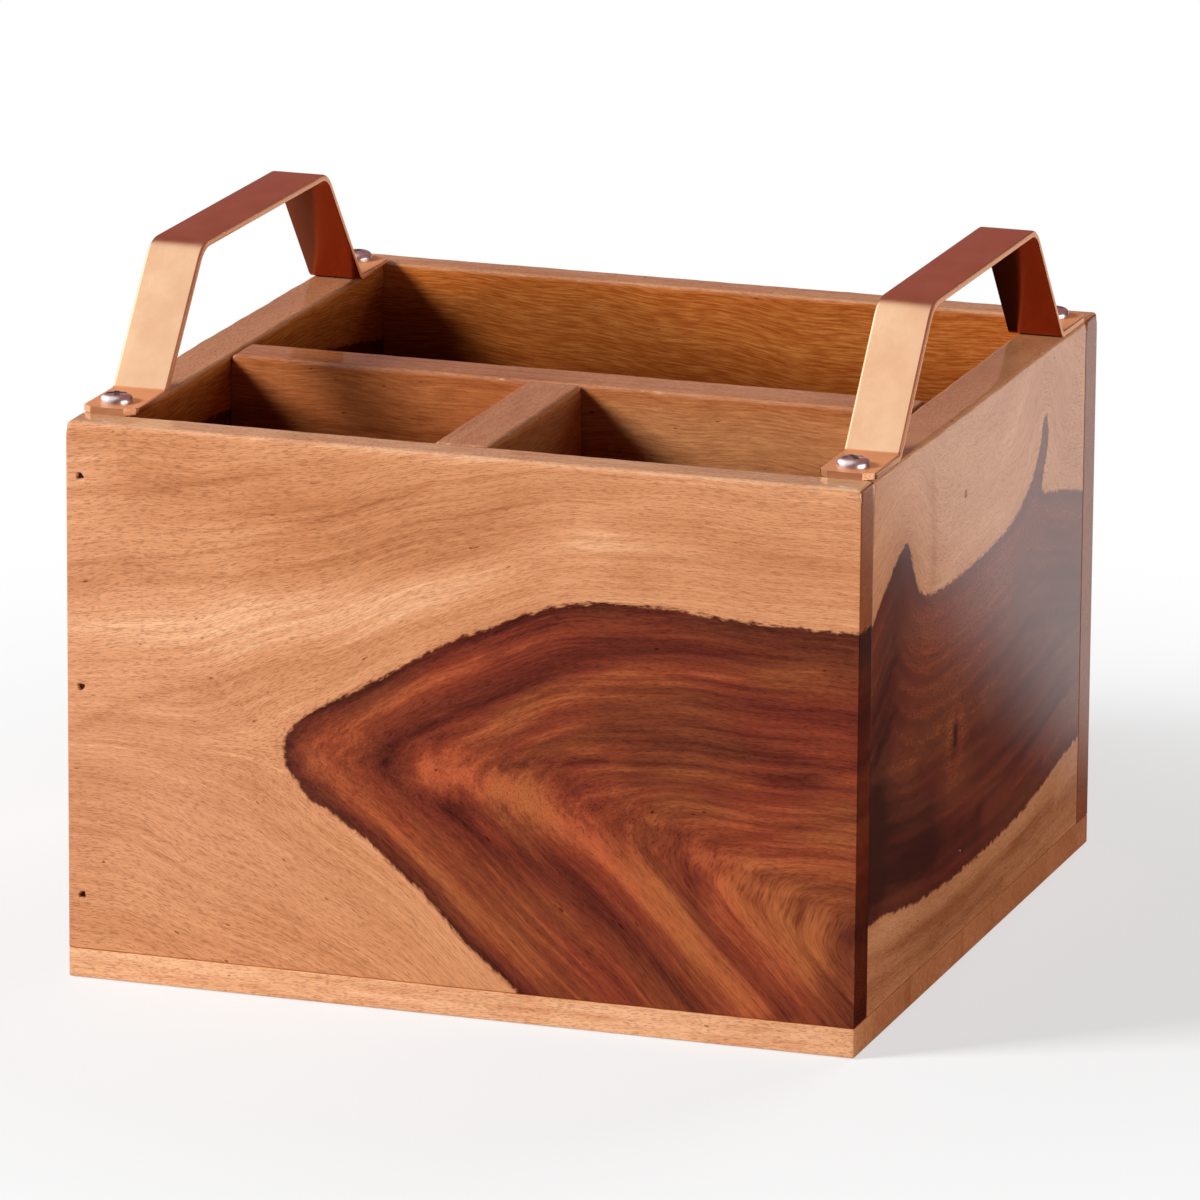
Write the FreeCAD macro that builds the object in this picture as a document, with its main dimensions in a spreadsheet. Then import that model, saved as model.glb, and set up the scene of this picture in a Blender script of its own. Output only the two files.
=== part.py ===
"""Table caddy for cutlery: a nailed hardwood box with three open bays and two bent copper strap handles.

The box stands on its base board with its front face towards -Y. Its origin is the middle of the
underside and +Z is up. The front and back panels cover the ends of the side panels, all four stand
on the base, and a T of two dividers makes one wide rear bay and two front bays.
"""
import FreeCAD, Part
import os
import re
import Sketcher

# Driving dimensions in millimetres, kept as the cells of the document's sheet.
SIZES = {
    # the box
    "overall_width": 177.8,
    "overall_depth": 177.8,
    "rim_height": 123.5,
    "base_thickness": 6.5,
    "side_thickness": 11.0,
    "face_thickness": 9.0,
    "divider_thickness": 12.5,
    "front_bay_depth": 61.0,
    "left_bay_width": 69.0,
    "arris_radius": 0.5,
    # the strap handles
    "strap_width": 12.5,
    "strap_thickness": 1.5,
    "handle_rise": 29.5,
    "handle_end_inset": 8.0,
    "foot_length": 20.0,
    "leg_reach": 22.5,
    "grip_bend_radius": 7.0,
    "foot_bend_radius": 1.5,
    "foot_corner_clip": 2.5,
    "foot_hole_clearance": 0.7,
    # the pan-head screws that hold the handles
    "screw_inset": 6.0,
    "screw_length": 12.0,
    "screw_thread_diameter": 3.5,
    "screw_core_diameter": 2.5,
    "screw_point_length": 2.5,
    "screw_neck_length": 2.5,
    "screw_head_diameter": 7.0,
    "screw_head_height": 2.1,
    "screw_head_round": 1.4,
    "recess_span": 3.8,
    "recess_width": 1.1,
    "recess_depth": 1.2,
    "pilot_spare_depth": 0.5,
    # the brads that nail the boards together
    "brad_diameter": 1.4,
    "brad_length": 25.0,
    "brad_head_diameter": 2.0,
    "brad_head_height": 0.8,
    "brad_sink": 0.8,
    "brad_point_length": 1.6,
    "corner_brad_margin": 12.0,
    "divider_brad_margin": 18.5,
    "brad_edge_offset": 3.2,
    "base_brad_inset": 45.0,
}

# Counts, and the turn in degrees at which each screw came to rest.
THREAD_RING_COUNT = 5
CORNER_BRAD_COUNT = 3
DIVIDER_BRAD_COUNT = 2
BASE_BRAD_COUNT = 2
SCREW_TURN_DEGREES = {
    "left_handle_front_screw": 22,
    "left_handle_rear_screw": 70,
    "right_handle_front_screw": 38,
    "right_handle_rear_screw": 8,
}

# Formulas that several pieces share.
WALL_HEIGHT = "(rim_height - base_thickness)"
SIDE_LENGTH = "(overall_depth - 2 * face_thickness)"
INNER_WIDTH = "(overall_width - 2 * side_thickness)"
HANDLE_LENGTH = "(overall_depth - 2 * handle_end_inset)"
SHORT_DIVIDER_MIDDLE = "(left_bay_width + divider_thickness / 2)"
LONG_DIVIDER_MIDDLE = "(front_bay_depth + divider_thickness / 2)"
BRAD_REACH = "(brad_sink + brad_length)"

RIGHT = FreeCAD.Vector(1, 0, 0)
BACK = FreeCAD.Vector(0, 1, 0)
UP = FreeCAD.Vector(0, 0, 1)
SKETCH_ORIGIN_NUMBERS = (-1, 1)
START_POINT_NUMBER = 1
END_POINT_NUMBER = 2
CENTRE_POINT_NUMBER = 3

doc = FreeCAD.newDocument("cutlery_caddy")
sheet = doc.addObject("Spreadsheet::Sheet", "Sizes")
for row, (alias, number) in enumerate(SIZES.items(), start=1):
    sheet.set(f"A{row}", alias)
    sheet.set(f"B{row}", str(number))
    sheet.setAlias(f"B{row}", alias)
doc.recompute()


def cells(formula):
    """The formula with each size's name pointing at its cell."""
    return re.sub(r"[a-z_]+", lambda word: f"Sizes.{word[0]}" if word[0] in SIZES else word[0], formula)


def value(formula):
    """What the formula comes to with the sizes as they are."""
    return float(sheet.evalExpression(cells(formula)))


def bind(item, name, formula):
    """Tie one property of a document object to the sheet."""
    item.setExpression(name, cells(formula))


def spread(first, span, count):
    """Formulas for evenly spaced places: the first, and the rest over the span."""
    return [f"{first} + {span} * {step} / {count - 1}" for step in range(count)]


def new_body(label, corner, turn=FreeCAD.Rotation()):
    """A body whose own origin stands at the given corner of the caddy's frame."""
    body = doc.addObject("PartDesign::Body", label)
    body.Placement = FreeCAD.Placement(FreeCAD.Vector(), turn)
    for axis, formula in zip("xyz", corner):
        bind(body, f"Placement.Base.{axis}", formula)
    return body


def new_sketch(body, name, role, offset):
    """A sketch on one of the body's own planes, moved along that plane's normal."""
    plane = next(feature for feature in body.Origin.OriginFeatures if feature.Role == role)
    sketch = body.newObject("Sketcher::SketchObject", name)
    sketch.AttachmentSupport = [(plane, "")]
    sketch.MapMode = "FlatFace"
    bind(sketch, "AttachmentOffset.Base.z", offset)
    return sketch


def fix_point(sketch, item, point, place):
    """Hold one point of the sketch at its place, measured from the sketch's origin."""
    for kind, formula in zip(("DistanceX", "DistanceY"), place):
        distance = Sketcher.Constraint(kind, *SKETCH_ORIGIN_NUMBERS, item, point, value(formula))
        held = sketch.addConstraint(distance)
        bind(sketch, f"Constraints[{held}]", formula)


def outline(body, name, role, places, offset="0"):
    """A closed outline of straight lines through the given places."""
    sketch = new_sketch(body, name, role, offset)
    corners = [FreeCAD.Vector(value(across), value(along), 0) for across, along in places]
    count = len(corners)
    for index, corner in enumerate(corners):
        sketch.addGeometry(Part.LineSegment(corner, corners[(index + 1) % count]))
    for index, place in enumerate(places):
        following = (index + 1) % count
        joint = Sketcher.Constraint("Coincident", index, END_POINT_NUMBER, following, START_POINT_NUMBER)
        sketch.addConstraint(joint)
        fix_point(sketch, index, START_POINT_NUMBER, place)
    return sketch


def pad(body, sketch, length):
    """Raise an outline into a solid along its plane's normal."""
    feature = body.newObject("PartDesign::Pad", "Pad")
    feature.Profile = sketch
    bind(feature, "Length", length)
    doc.recompute()
    return feature


def spin(body, sketch):
    """Turn a half profile round its upright axis."""
    feature = body.newObject("PartDesign::Revolution", "Spin")
    feature.Profile = sketch
    feature.ReferenceAxis = (sketch, ["V_Axis"])
    feature.Angle = 360
    doc.recompute()
    return feature


def pocket(body, sketch, depth, along_normal):
    """Cut a sketch into the body, and see that it did take something away."""
    before = body.Shape.Volume
    feature = body.newObject("PartDesign::Pocket", "Pocket")
    feature.Profile = sketch
    feature.Reversed = along_normal
    bind(feature, "Length", depth)
    doc.recompute()
    if not body.Shape.Volume < before:
        raise ValueError(f"{sketch.Label} in {body.Label} cuts nothing")


def drill(body, name, role, centres, diameter, depth, offset="0", along_normal=False):
    """Round holes of one diameter and depth, sunk from one plane of the body."""
    sketch = new_sketch(body, name, role, offset)
    for centre in centres:
        middle = FreeCAD.Vector(value(centre[0]), value(centre[1]), 0)
        circle = sketch.addGeometry(Part.Circle(middle, UP, value(diameter) / 2))
        fix_point(sketch, circle, CENTRE_POINT_NUMBER, centre)
        bore = sketch.addConstraint(Sketcher.Constraint("Diameter", circle, value(diameter)))
        bind(sketch, f"Constraints[{bore}]", diameter)
    pocket(body, sketch, depth, along_normal)


def nail_through(body, role, centres, thickness, offset="0", along_normal=False):
    """The way of each brad through the board that it is driven into first, with its sunk head."""
    head_depth = "brad_sink + brad_head_height"
    drill(body, "brad_ways", role, centres, "brad_diameter", thickness, offset, along_normal)
    drill(body, "brad_heads", role, centres, "brad_head_diameter", head_depth, offset, along_normal)


def nail_into(body, role, centres, passed, offset="0", along_normal=False):
    """The blind hole of each brad in the board that it holds, past the board that it came through."""
    depth = f"{BRAD_REACH} - {passed}"
    drill(body, "brad_ends", role, centres, "brad_diameter", depth, offset, along_normal)


def round_edges(body, feature, name, radius, chosen=None):
    """Round the chosen edges of a feature, or all of them."""
    fillet = body.newObject("PartDesign::Fillet", name)
    fillet.Base = (feature, chosen or [""])
    fillet.UseAllEdges = chosen is None
    bind(fillet, "Radius", radius)
    doc.recompute()
    return fillet


def edges_along(shape, direction, places):
    """Names of the straight edges along a direction that pass over the given places."""
    near = Part.Precision.approximation()
    names = []
    for number, edge in enumerate(shape.Edges, start=1):
        middle = edge.CenterOfMass
        run = edge.Vertexes[-1].Point - edge.Vertexes[0].Point
        straight = run.cross(direction).Length < near * run.Length
        over = any((middle - place).cross(direction).Length < near for place in places)
        if straight and over:
            names.append(f"Edge{number}")
    return names


def board(label, size, corner):
    """A plain board with its arrises eased, standing in the positive corner of its own frame."""
    body = new_body(label, corner)
    width, depth, height = size
    plan = outline(body, "plan", "XY_Plane", [("0", "0"), (width, "0"), (width, depth), ("0", depth)])
    solid = pad(body, plan, height)
    round_edges(body, solid, "eased_arrises", "arris_radius")
    return body


# Places of the brads, each row written in the frame of the board that it goes into.
CORNER_SPAN = f"({WALL_HEIGHT} - 2 * corner_brad_margin)"
DIVIDER_SPAN = f"({WALL_HEIGHT} - 2 * divider_brad_margin)"
CORNER_ROW = spread("corner_brad_margin", CORNER_SPAN, CORNER_BRAD_COUNT)
DIVIDER_ROW = spread("divider_brad_margin", DIVIDER_SPAN, DIVIDER_BRAD_COUNT)
FACE_BASE_ROW = spread("base_brad_inset", "(overall_width - 2 * base_brad_inset)", BASE_BRAD_COUNT)
SIDE_BASE_ROW = spread("base_brad_inset", f"({SIDE_LENGTH} - 2 * base_brad_inset)", BASE_BRAD_COUNT)
LONG_BASE_ROW = spread("base_brad_inset", f"({INNER_WIDTH} - 2 * base_brad_inset)", BASE_BRAD_COUNT)
SHORT_BASE_PLACE = "front_bay_depth / 2"


def base_board():
    """The board that carries the four walls and the dividers, nailed to them from below."""
    corner = ("-overall_width / 2", "-overall_depth / 2", "0")
    body = board("base_board", ("overall_width", "overall_depth", "base_thickness"), corner)
    centres = []
    for back in ("face_thickness / 2", "overall_depth - face_thickness / 2"):
        centres += [(along, back) for along in FACE_BASE_ROW]
    for across in ("side_thickness / 2", "overall_width - side_thickness / 2"):
        centres += [(across, f"face_thickness + {along}") for along in SIDE_BASE_ROW]
    for along in LONG_BASE_ROW:
        centres.append((f"side_thickness + {along}", f"face_thickness + {LONG_DIVIDER_MIDDLE}"))
    centres.append((f"side_thickness + {SHORT_DIVIDER_MIDDLE}", f"face_thickness + {SHORT_BASE_PLACE}"))
    nail_through(body, "XY_Plane", centres, "base_thickness", along_normal=True)
    return body


def face_panel(label, corner_y, outer_face, from_back, with_divider):
    """The front or back panel, as wide as the box, nailed to the ends of the side panels."""
    corner = ("-overall_width / 2", corner_y, "base_thickness")
    body = board(label, ("overall_width", "face_thickness", WALL_HEIGHT), corner)
    centres = [("brad_edge_offset", up) for up in CORNER_ROW]
    centres += [("overall_width - brad_edge_offset", up) for up in CORNER_ROW]
    if with_divider:
        centres += [(f"side_thickness + {SHORT_DIVIDER_MIDDLE}", up) for up in DIVIDER_ROW]
    nail_through(body, "XZ_Plane", centres, "face_thickness", outer_face, from_back)
    base_centres = [(along, "face_thickness / 2") for along in FACE_BASE_ROW]
    nail_into(body, "XY_Plane", base_centres, "base_thickness", along_normal=True)
    return body


def side_panel(label, corner_x, outer_face, from_left, from_outside):
    """A side panel between the front and back panels, which carries one handle on its top edge."""
    corner = (corner_x, "-overall_depth / 2 + face_thickness", "base_thickness")
    body = board(label, ("side_thickness", SIDE_LENGTH, WALL_HEIGHT), corner)
    corner_centres = [(from_outside("brad_edge_offset"), up) for up in CORNER_ROW]
    nail_into(body, "XZ_Plane", corner_centres, "face_thickness")
    nail_into(body, "XZ_Plane", corner_centres, "face_thickness", f"-{SIDE_LENGTH}", along_normal=True)
    divider_centres = [(LONG_DIVIDER_MIDDLE, up) for up in DIVIDER_ROW]
    nail_through(body, "YZ_Plane", divider_centres, "side_thickness", outer_face, from_left)
    base_centres = [("side_thickness / 2", along) for along in SIDE_BASE_ROW]
    nail_into(body, "XY_Plane", base_centres, "base_thickness", along_normal=True)
    screw_place = "(handle_end_inset + screw_inset - face_thickness)"
    screw_centres = [(from_outside("strap_width / 2"), screw_place)]
    screw_centres += [(from_outside("strap_width / 2"), f"{SIDE_LENGTH} - {screw_place}")]
    pilot_depth = "screw_length - strap_thickness + pilot_spare_depth"
    drill(body, "screw_pilots", "XY_Plane", screw_centres, "screw_thread_diameter", pilot_depth, WALL_HEIGHT)
    return body


def long_divider():
    """The divider that runs from side to side and closes off the rear bay."""
    corner = ("-overall_width / 2 + side_thickness",
              "-overall_depth / 2 + face_thickness + front_bay_depth", "base_thickness")
    body = board("long_divider", (INNER_WIDTH, "divider_thickness", WALL_HEIGHT), corner)
    end_centres = [("divider_thickness / 2", up) for up in DIVIDER_ROW]
    nail_into(body, "YZ_Plane", end_centres, "side_thickness", along_normal=True)
    nail_into(body, "YZ_Plane", end_centres, "side_thickness", INNER_WIDTH)
    cross_centres = [(SHORT_DIVIDER_MIDDLE, up) for up in DIVIDER_ROW]
    nail_through(body, "XZ_Plane", cross_centres, "divider_thickness", "-divider_thickness", True)
    base_centres = [(along, "divider_thickness / 2") for along in LONG_BASE_ROW]
    nail_into(body, "XY_Plane", base_centres, "base_thickness", along_normal=True)
    return body


def short_divider():
    """The divider between the two front bays, from the front panel to the long divider."""
    corner = ("-overall_width / 2 + side_thickness + left_bay_width",
              "-overall_depth / 2 + face_thickness", "base_thickness")
    body = board("short_divider", ("divider_thickness", "front_bay_depth", WALL_HEIGHT), corner)
    end_centres = [("divider_thickness / 2", up) for up in DIVIDER_ROW]
    nail_into(body, "XZ_Plane", end_centres, "face_thickness")
    nail_into(body, "XZ_Plane", end_centres, "divider_thickness", "-front_bay_depth", along_normal=True)
    base_centres = [("divider_thickness / 2", SHORT_BASE_PLACE)]
    nail_into(body, "XY_Plane", base_centres, "base_thickness", along_normal=True)
    return body


def strap_handle(label, corner_x):
    """A flat strap bent into two feet, two leaning legs and a level grip."""
    body = new_body(label, (corner_x, "-overall_depth / 2 + handle_end_inset", "rim_height"))
    lower_rise = "(handle_rise - strap_thickness)"
    # how far the upper face's corners stand back from the lower face's at a bend
    setback = f"strap_thickness * tan(atan2({lower_rise}; leg_reach) / 2)"
    lower = [("0", "0"), ("foot_length", "0"), ("foot_length + leg_reach", lower_rise)]
    upper = [("0", "strap_thickness"), (f"foot_length - {setback}", "strap_thickness"),
             (f"foot_length + leg_reach - {setback}", "handle_rise")]
    lower += [(f"{HANDLE_LENGTH} - ({along})", up) for along, up in reversed(lower)]
    upper += [(f"{HANDLE_LENGTH} - ({along})", up) for along, up in reversed(upper)]
    solid = pad(body, outline(body, "side_profile", "YZ_Plane", lower + upper[::-1]), "strap_width")

    def bends(face, corners):
        return [FreeCAD.Vector(0, value(face[corner][0]), value(face[corner][1])) for corner in corners]

    bent = solid
    for place, corners, hollow, round_side in (("foot", (1, 4), upper, lower), ("grip", (2, 3), lower, upper)):
        inner = edges_along(bent.Shape, RIGHT, bends(hollow, corners))
        bent = round_edges(body, bent, f"{place}_inner_bends", f"{place}_bend_radius", inner)
        outer = edges_along(bent.Shape, RIGHT, bends(round_side, corners))
        bent = round_edges(body, bent, f"{place}_outer_bends", f"{place}_bend_radius + strap_thickness", outer)

    ends = [FreeCAD.Vector(value(across), value(along), 0)
            for across in ("0", "strap_width") for along in ("0", HANDLE_LENGTH)]
    clip = body.newObject("PartDesign::Chamfer", "clipped_corners")
    clip.Base = (bent, edges_along(bent.Shape, UP, ends))
    bind(clip, "Size", "foot_corner_clip")
    doc.recompute()
    holes = [("strap_width / 2", "screw_inset"), ("strap_width / 2", f"{HANDLE_LENGTH} - screw_inset")]
    hole = "screw_thread_diameter + foot_hole_clearance"
    drill(body, "screw_holes", "XY_Plane", holes, hole, "strap_thickness", "strap_thickness")
    return body


def handle_screw(label, across, along):
    """A pan-head wood screw with a cross recess, seated on a handle's foot."""
    turn = FreeCAD.Rotation(UP, SCREW_TURN_DEGREES[label])
    body = new_body(label, (across, along, "rim_height + strap_thickness - screw_length"), turn)
    ring = f"(screw_length - screw_point_length - screw_neck_length) / {THREAD_RING_COUNT}"
    profile = [("0", "0"), ("screw_core_diameter / 2", "screw_point_length")]
    for step in range(THREAD_RING_COUNT):
        crest = f"screw_point_length + {ring} * ({step} + 1 / 2)"
        root = f"screw_point_length + {ring} * ({step} + 1)"
        profile += [("screw_thread_diameter / 2", crest), ("screw_core_diameter / 2", root)]
    top = "screw_length + screw_head_height"
    profile += [("screw_core_diameter / 2", "screw_length"), ("screw_head_diameter / 2", "screw_length"),
                ("screw_head_diameter / 2", top), ("0", top)]
    solid = spin(body, outline(body, "half_profile", "XZ_Plane", profile))
    near = Part.Precision.approximation()
    edges = enumerate(solid.Shape.Edges, start=1)
    rings = [(f"Edge{number}", edge) for number, edge in edges if edge.isClosed()]
    rim = [name for name, edge in rings if abs(edge.CenterOfMass.z - value(top)) < near]
    round_edges(body, solid, "domed_head", "screw_head_round", rim)
    span, width = "recess_span / 2", "recess_width / 2"
    quarter = [(span, width), (width, width), (width, span)]
    cross = quarter + [(f"-{across}", along) for across, along in reversed(quarter)]
    cross += [(f"-{across}", f"-{along}") for across, along in quarter]
    cross += [(across, f"-{along}") for across, along in reversed(quarter)]
    pocket(body, outline(body, "cross_recess", "XY_Plane", cross, top), "recess_depth", along_normal=False)
    return body


def brad_row(label, first, drive, row_direction, span="0", count=1):
    """A row of alike brads: the first one's place on the surface, and the ways they point and repeat."""
    body = new_body(label, first, FreeCAD.Rotation(row_direction, FreeCAD.Vector(), drive, "ZXY"))
    head, shank = "brad_head_diameter / 2", "brad_diameter / 2"
    under_head = "brad_sink + brad_head_height"
    profile = [("0", "brad_sink"), (head, "brad_sink"), (head, under_head), (shank, under_head),
               (shank, f"{BRAD_REACH} - brad_point_length"), ("0", BRAD_REACH)]
    sketch = outline(body, "half_profile", "XZ_Plane", profile)
    brad = spin(body, sketch)
    if count > 1:
        row = body.newObject("PartDesign::LinearPattern", "Row")
        row.Originals = [brad]
        row.Direction = (sketch, ["H_Axis"])
        row.Occurrences = count
        bind(row, "Length", span)
        body.Tip = row
        doc.recompute()
    return body


def wall_brads():
    """Brads through the outer walls and the long divider, each row standing upright."""
    left = "-overall_width / 2 + brad_edge_offset"
    right = "overall_width / 2 - brad_edge_offset"
    front_face, back_face = "-overall_depth / 2", "overall_depth / 2"
    short_x = f"-overall_width / 2 + side_thickness + {SHORT_DIVIDER_MIDDLE}"
    long_y = f"-overall_depth / 2 + face_thickness + {LONG_DIVIDER_MIDDLE}"
    cross_y = "-overall_depth / 2 + face_thickness + front_bay_depth + divider_thickness"
    corner_rows = [
        ("front_left_brads", (left, front_face), BACK),
        ("front_right_brads", (right, front_face), BACK),
        ("back_left_brads", (left, back_face), -BACK),
        ("back_right_brads", (right, back_face), -BACK),
    ]
    divider_rows = [
        ("left_divider_brads", ("-overall_width / 2", long_y), RIGHT),
        ("right_divider_brads", ("overall_width / 2", long_y), -RIGHT),
        ("front_divider_brads", (short_x, front_face), BACK),
        ("cross_divider_brads", (short_x, cross_y), -BACK),
    ]
    corner_up = "base_thickness + corner_brad_margin"
    divider_up = "base_thickness + divider_brad_margin"
    made = [brad_row(label, (*place, corner_up), drive, UP, CORNER_SPAN, CORNER_BRAD_COUNT)
            for label, place, drive in corner_rows]
    return made + [brad_row(label, (*place, divider_up), drive, UP, DIVIDER_SPAN, DIVIDER_BRAD_COUNT)
                   for label, place, drive in divider_rows]


def base_brads():
    """Brads up through the base, each row lying along the board that it holds."""
    left, front = "-overall_width / 2", "-overall_depth / 2"
    first_across = f"{left} + base_brad_inset"
    first_along = f"{front} + face_thickness + base_brad_inset"
    face_span = "overall_width - 2 * base_brad_inset"
    side_span = f"{SIDE_LENGTH} - 2 * base_brad_inset"
    long_place = (f"{left} + side_thickness + base_brad_inset",
                  f"{front} + face_thickness + {LONG_DIVIDER_MIDDLE}")
    short_place = (f"{left} + side_thickness + {SHORT_DIVIDER_MIDDLE}",
                   f"{front} + face_thickness + {SHORT_BASE_PLACE}")
    rows = [
        ("base_front_brads", (first_across, f"{front} + face_thickness / 2"), RIGHT, face_span),
        ("base_back_brads", (first_across, "overall_depth / 2 - face_thickness / 2"), RIGHT, face_span),
        ("base_left_brads", (f"{left} + side_thickness / 2", first_along), BACK, side_span),
        ("base_right_brads", ("overall_width / 2 - side_thickness / 2", first_along), BACK, side_span),
        ("base_long_divider_brads", long_place, RIGHT, f"{INNER_WIDTH} - 2 * base_brad_inset"),
    ]
    made = [brad_row(label, (*place, "0"), UP, way, span, BASE_BRAD_COUNT)
            for label, place, way, span in rows]
    return made + [brad_row("base_short_divider_brad", (*short_place, "0"), UP, RIGHT)]


def all_pieces():
    """Every piece of the caddy, from the base up."""
    pieces = [base_board()]
    pieces.append(face_panel("front_panel", "-overall_depth / 2", "0", False, True))
    back_corner = "overall_depth / 2 - face_thickness"
    pieces.append(face_panel("back_panel", back_corner, "-face_thickness", True, False))
    pieces.append(side_panel("left_panel", "-overall_width / 2", "0", True, lambda inset: inset))
    right_corner = "overall_width / 2 - side_thickness"
    from_right = "side_thickness - ({})".format
    pieces.append(side_panel("right_panel", right_corner, "side_thickness", False, from_right))
    pieces += [long_divider(), short_divider()]
    pieces.append(strap_handle("left_handle", "-overall_width / 2"))
    pieces.append(strap_handle("right_handle", "overall_width / 2 - strap_width"))
    screw_x = "(overall_width / 2 - strap_width / 2)"
    screw_y = "(overall_depth / 2 - handle_end_inset - screw_inset)"
    for side, across in (("left", f"-{screw_x}"), ("right", screw_x)):
        pieces.append(handle_screw(f"{side}_handle_front_screw", across, f"-{screw_y}"))
        pieces.append(handle_screw(f"{side}_handle_rear_screw", across, screw_y))
    return pieces + wall_brads() + base_brads()


pieces = all_pieces()
doc.recompute()
for item in doc.Objects:
    if {"Invalid", "Error"} & set(item.State):
        raise ValueError(f"{item.Label} failed: {item.State}")
for piece in pieces:
    if piece.Shape.isNull() or not piece.Shape.isValid():
        raise ValueError(f"{piece.Label} has no sound shape")
os.makedirs("parts", exist_ok=True)
for piece in pieces:
    piece.Shape.exportStep(f"parts/{piece.Label}.step")
    print(piece.Label, len(piece.Shape.Solids), round(piece.Shape.Volume, 2))
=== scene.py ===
# %% [markdown]
# A cutlery caddy of figured rosewood: an open box on a thin base board, a T of dividers inside, and a
# bent copper strap screwed to the top of each side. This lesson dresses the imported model. The boards are
# made again as meshes fine enough to carry a grain, the straps and screws grow from Geometry Nodes, and
# the sunk nails keep their own solids and only get a finish.

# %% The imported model
import math

import bpy
import numpy as np
from mathutils import Matrix, Vector


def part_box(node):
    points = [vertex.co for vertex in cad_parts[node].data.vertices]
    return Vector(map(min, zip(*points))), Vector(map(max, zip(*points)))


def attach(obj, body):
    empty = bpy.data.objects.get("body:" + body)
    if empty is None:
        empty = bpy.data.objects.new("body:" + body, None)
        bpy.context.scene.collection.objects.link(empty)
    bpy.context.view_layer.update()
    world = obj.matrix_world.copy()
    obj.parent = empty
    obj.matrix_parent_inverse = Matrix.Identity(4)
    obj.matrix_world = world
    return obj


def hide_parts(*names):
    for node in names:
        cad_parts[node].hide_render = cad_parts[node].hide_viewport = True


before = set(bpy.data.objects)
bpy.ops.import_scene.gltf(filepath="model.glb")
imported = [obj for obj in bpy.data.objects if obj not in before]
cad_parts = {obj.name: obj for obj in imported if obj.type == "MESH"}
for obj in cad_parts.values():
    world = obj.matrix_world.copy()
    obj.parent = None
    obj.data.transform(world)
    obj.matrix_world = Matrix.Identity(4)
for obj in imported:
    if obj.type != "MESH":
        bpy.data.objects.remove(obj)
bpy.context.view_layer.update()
MM = 0.001

# %% [markdown]
# Every board is a sawn plank with sanded arrises. A cube with a bevel has too few points to carry the
# figure of the wood, so each board starts as a box of mesh lines: even lines over the faces, and close
# ones at the edges and round each nail. The box is then rounded by a rule: a point keeps its direction
# from an inner box and moves to the arris radius. Joints stay almost sharp, and the rim that hands touch
# is rounder and a little wavy.

# %% Sizes of the boards, in millimetres
MESH_SPACING = 1.3
JOINT_ARRIS = 0.3
RIM_ARRIS = 1.1
RIM_ARRIS_SWING = 0.2
RIM_FADE = 2.0
ARC_SHARES = (0.0, 0.42, 0.73, 1.0)
NAIL_RADIUS = 1.0
PIT_RADIUS = 0.6
PIT_WALL = 0.2
PIT_DEPTH = 1.2
PIT_LINES = (-1.1, -0.9, -0.7, -0.35, 0.0, 0.35, 0.7, 0.9, 1.1)
LEAST_SPACING = 0.08
RIPPLE_LENGTHS = (61.0, 37.0, 19.0, 8.0)
RIPPLE_SIZE = 2.2
RIPPLE_SKEW = 0.7


def node_box(name):
    """The lowest and highest corner of a solid, in millimetres."""
    low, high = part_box(name)
    return np.array(low) / MM, np.array(high) / MM


RIM_HEIGHT = node_box("front_panel")[1][2]
print("rim height in mm:", round(RIM_HEIGHT, 1))


# %% Rules for a rounded board
def ripple(along, seed):
    """A smooth wander between about -1 and 1, the same on every run."""
    phases = np.random.default_rng(seed).uniform(0, 2 * math.pi, len(RIPPLE_LENGTHS))
    waves = [np.sin(2 * math.pi * along / length + phase) for length, phase in zip(RIPPLE_LENGTHS, phases)]
    return sum(waves) / RIPPLE_SIZE


def mesh_lines(low, high, nails):
    """Where the mesh lines cross one edge of a board."""
    even = np.linspace(low, high, max(2, round((high - low) / MESH_SPACING)) + 1)
    fine = [low, high]
    for radius in (JOINT_ARRIS, RIM_ARRIS + RIM_ARRIS_SWING):
        fine += [low + radius * share for share in ARC_SHARES]
        fine += [high - radius * share for share in ARC_SHARES]
    for nail in nails:
        fine += [nail + step for step in PIT_LINES if low < nail + step < high]
    fine = np.sort(np.array(fine))
    fine = fine[np.r_[True, np.diff(fine) > LEAST_SPACING]]
    gap = np.abs(even[:, None] - fine[None, :]).min(axis=1)
    lines = np.sort(np.r_[fine, even[gap > MESH_SPACING / 4]])
    lines[0], lines[-1] = low, high
    return lines


def lined_box(lines):
    """A closed box whose faces carry the given lines along x, y and z."""
    points, quads, count = [], [], 0
    for axis in range(3):
        across, up = (axis + 1) % 3, (axis + 2) % 3
        for side in (0, -1):
            grid_across, grid_up = np.meshgrid(lines[across], lines[up], indexing="ij")
            face = np.empty(grid_across.shape + (3,))
            face[..., axis] = lines[axis][side]
            face[..., across] = grid_across
            face[..., up] = grid_up
            index = count + np.arange(grid_across.size).reshape(grid_across.shape)
            corners = (index[:-1, :-1], index[1:, :-1], index[1:, 1:], index[:-1, 1:])
            quad = np.stack([corner.ravel() for corner in corners], axis=1)
            quads.append(quad if side else quad[:, ::-1])
            points.append(face.reshape(-1, 3))
            count += grid_across.size
    points, place = np.unique(np.round(np.concatenate(points), 4), axis=0, return_inverse=True)
    return points, place.reshape(-1)[np.concatenate(quads)]


def smooth_step(value):
    """A value held between 0 and 1, with soft ends."""
    value = np.clip(value, 0, 1)
    return value * value * (3 - 2 * value)


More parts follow.
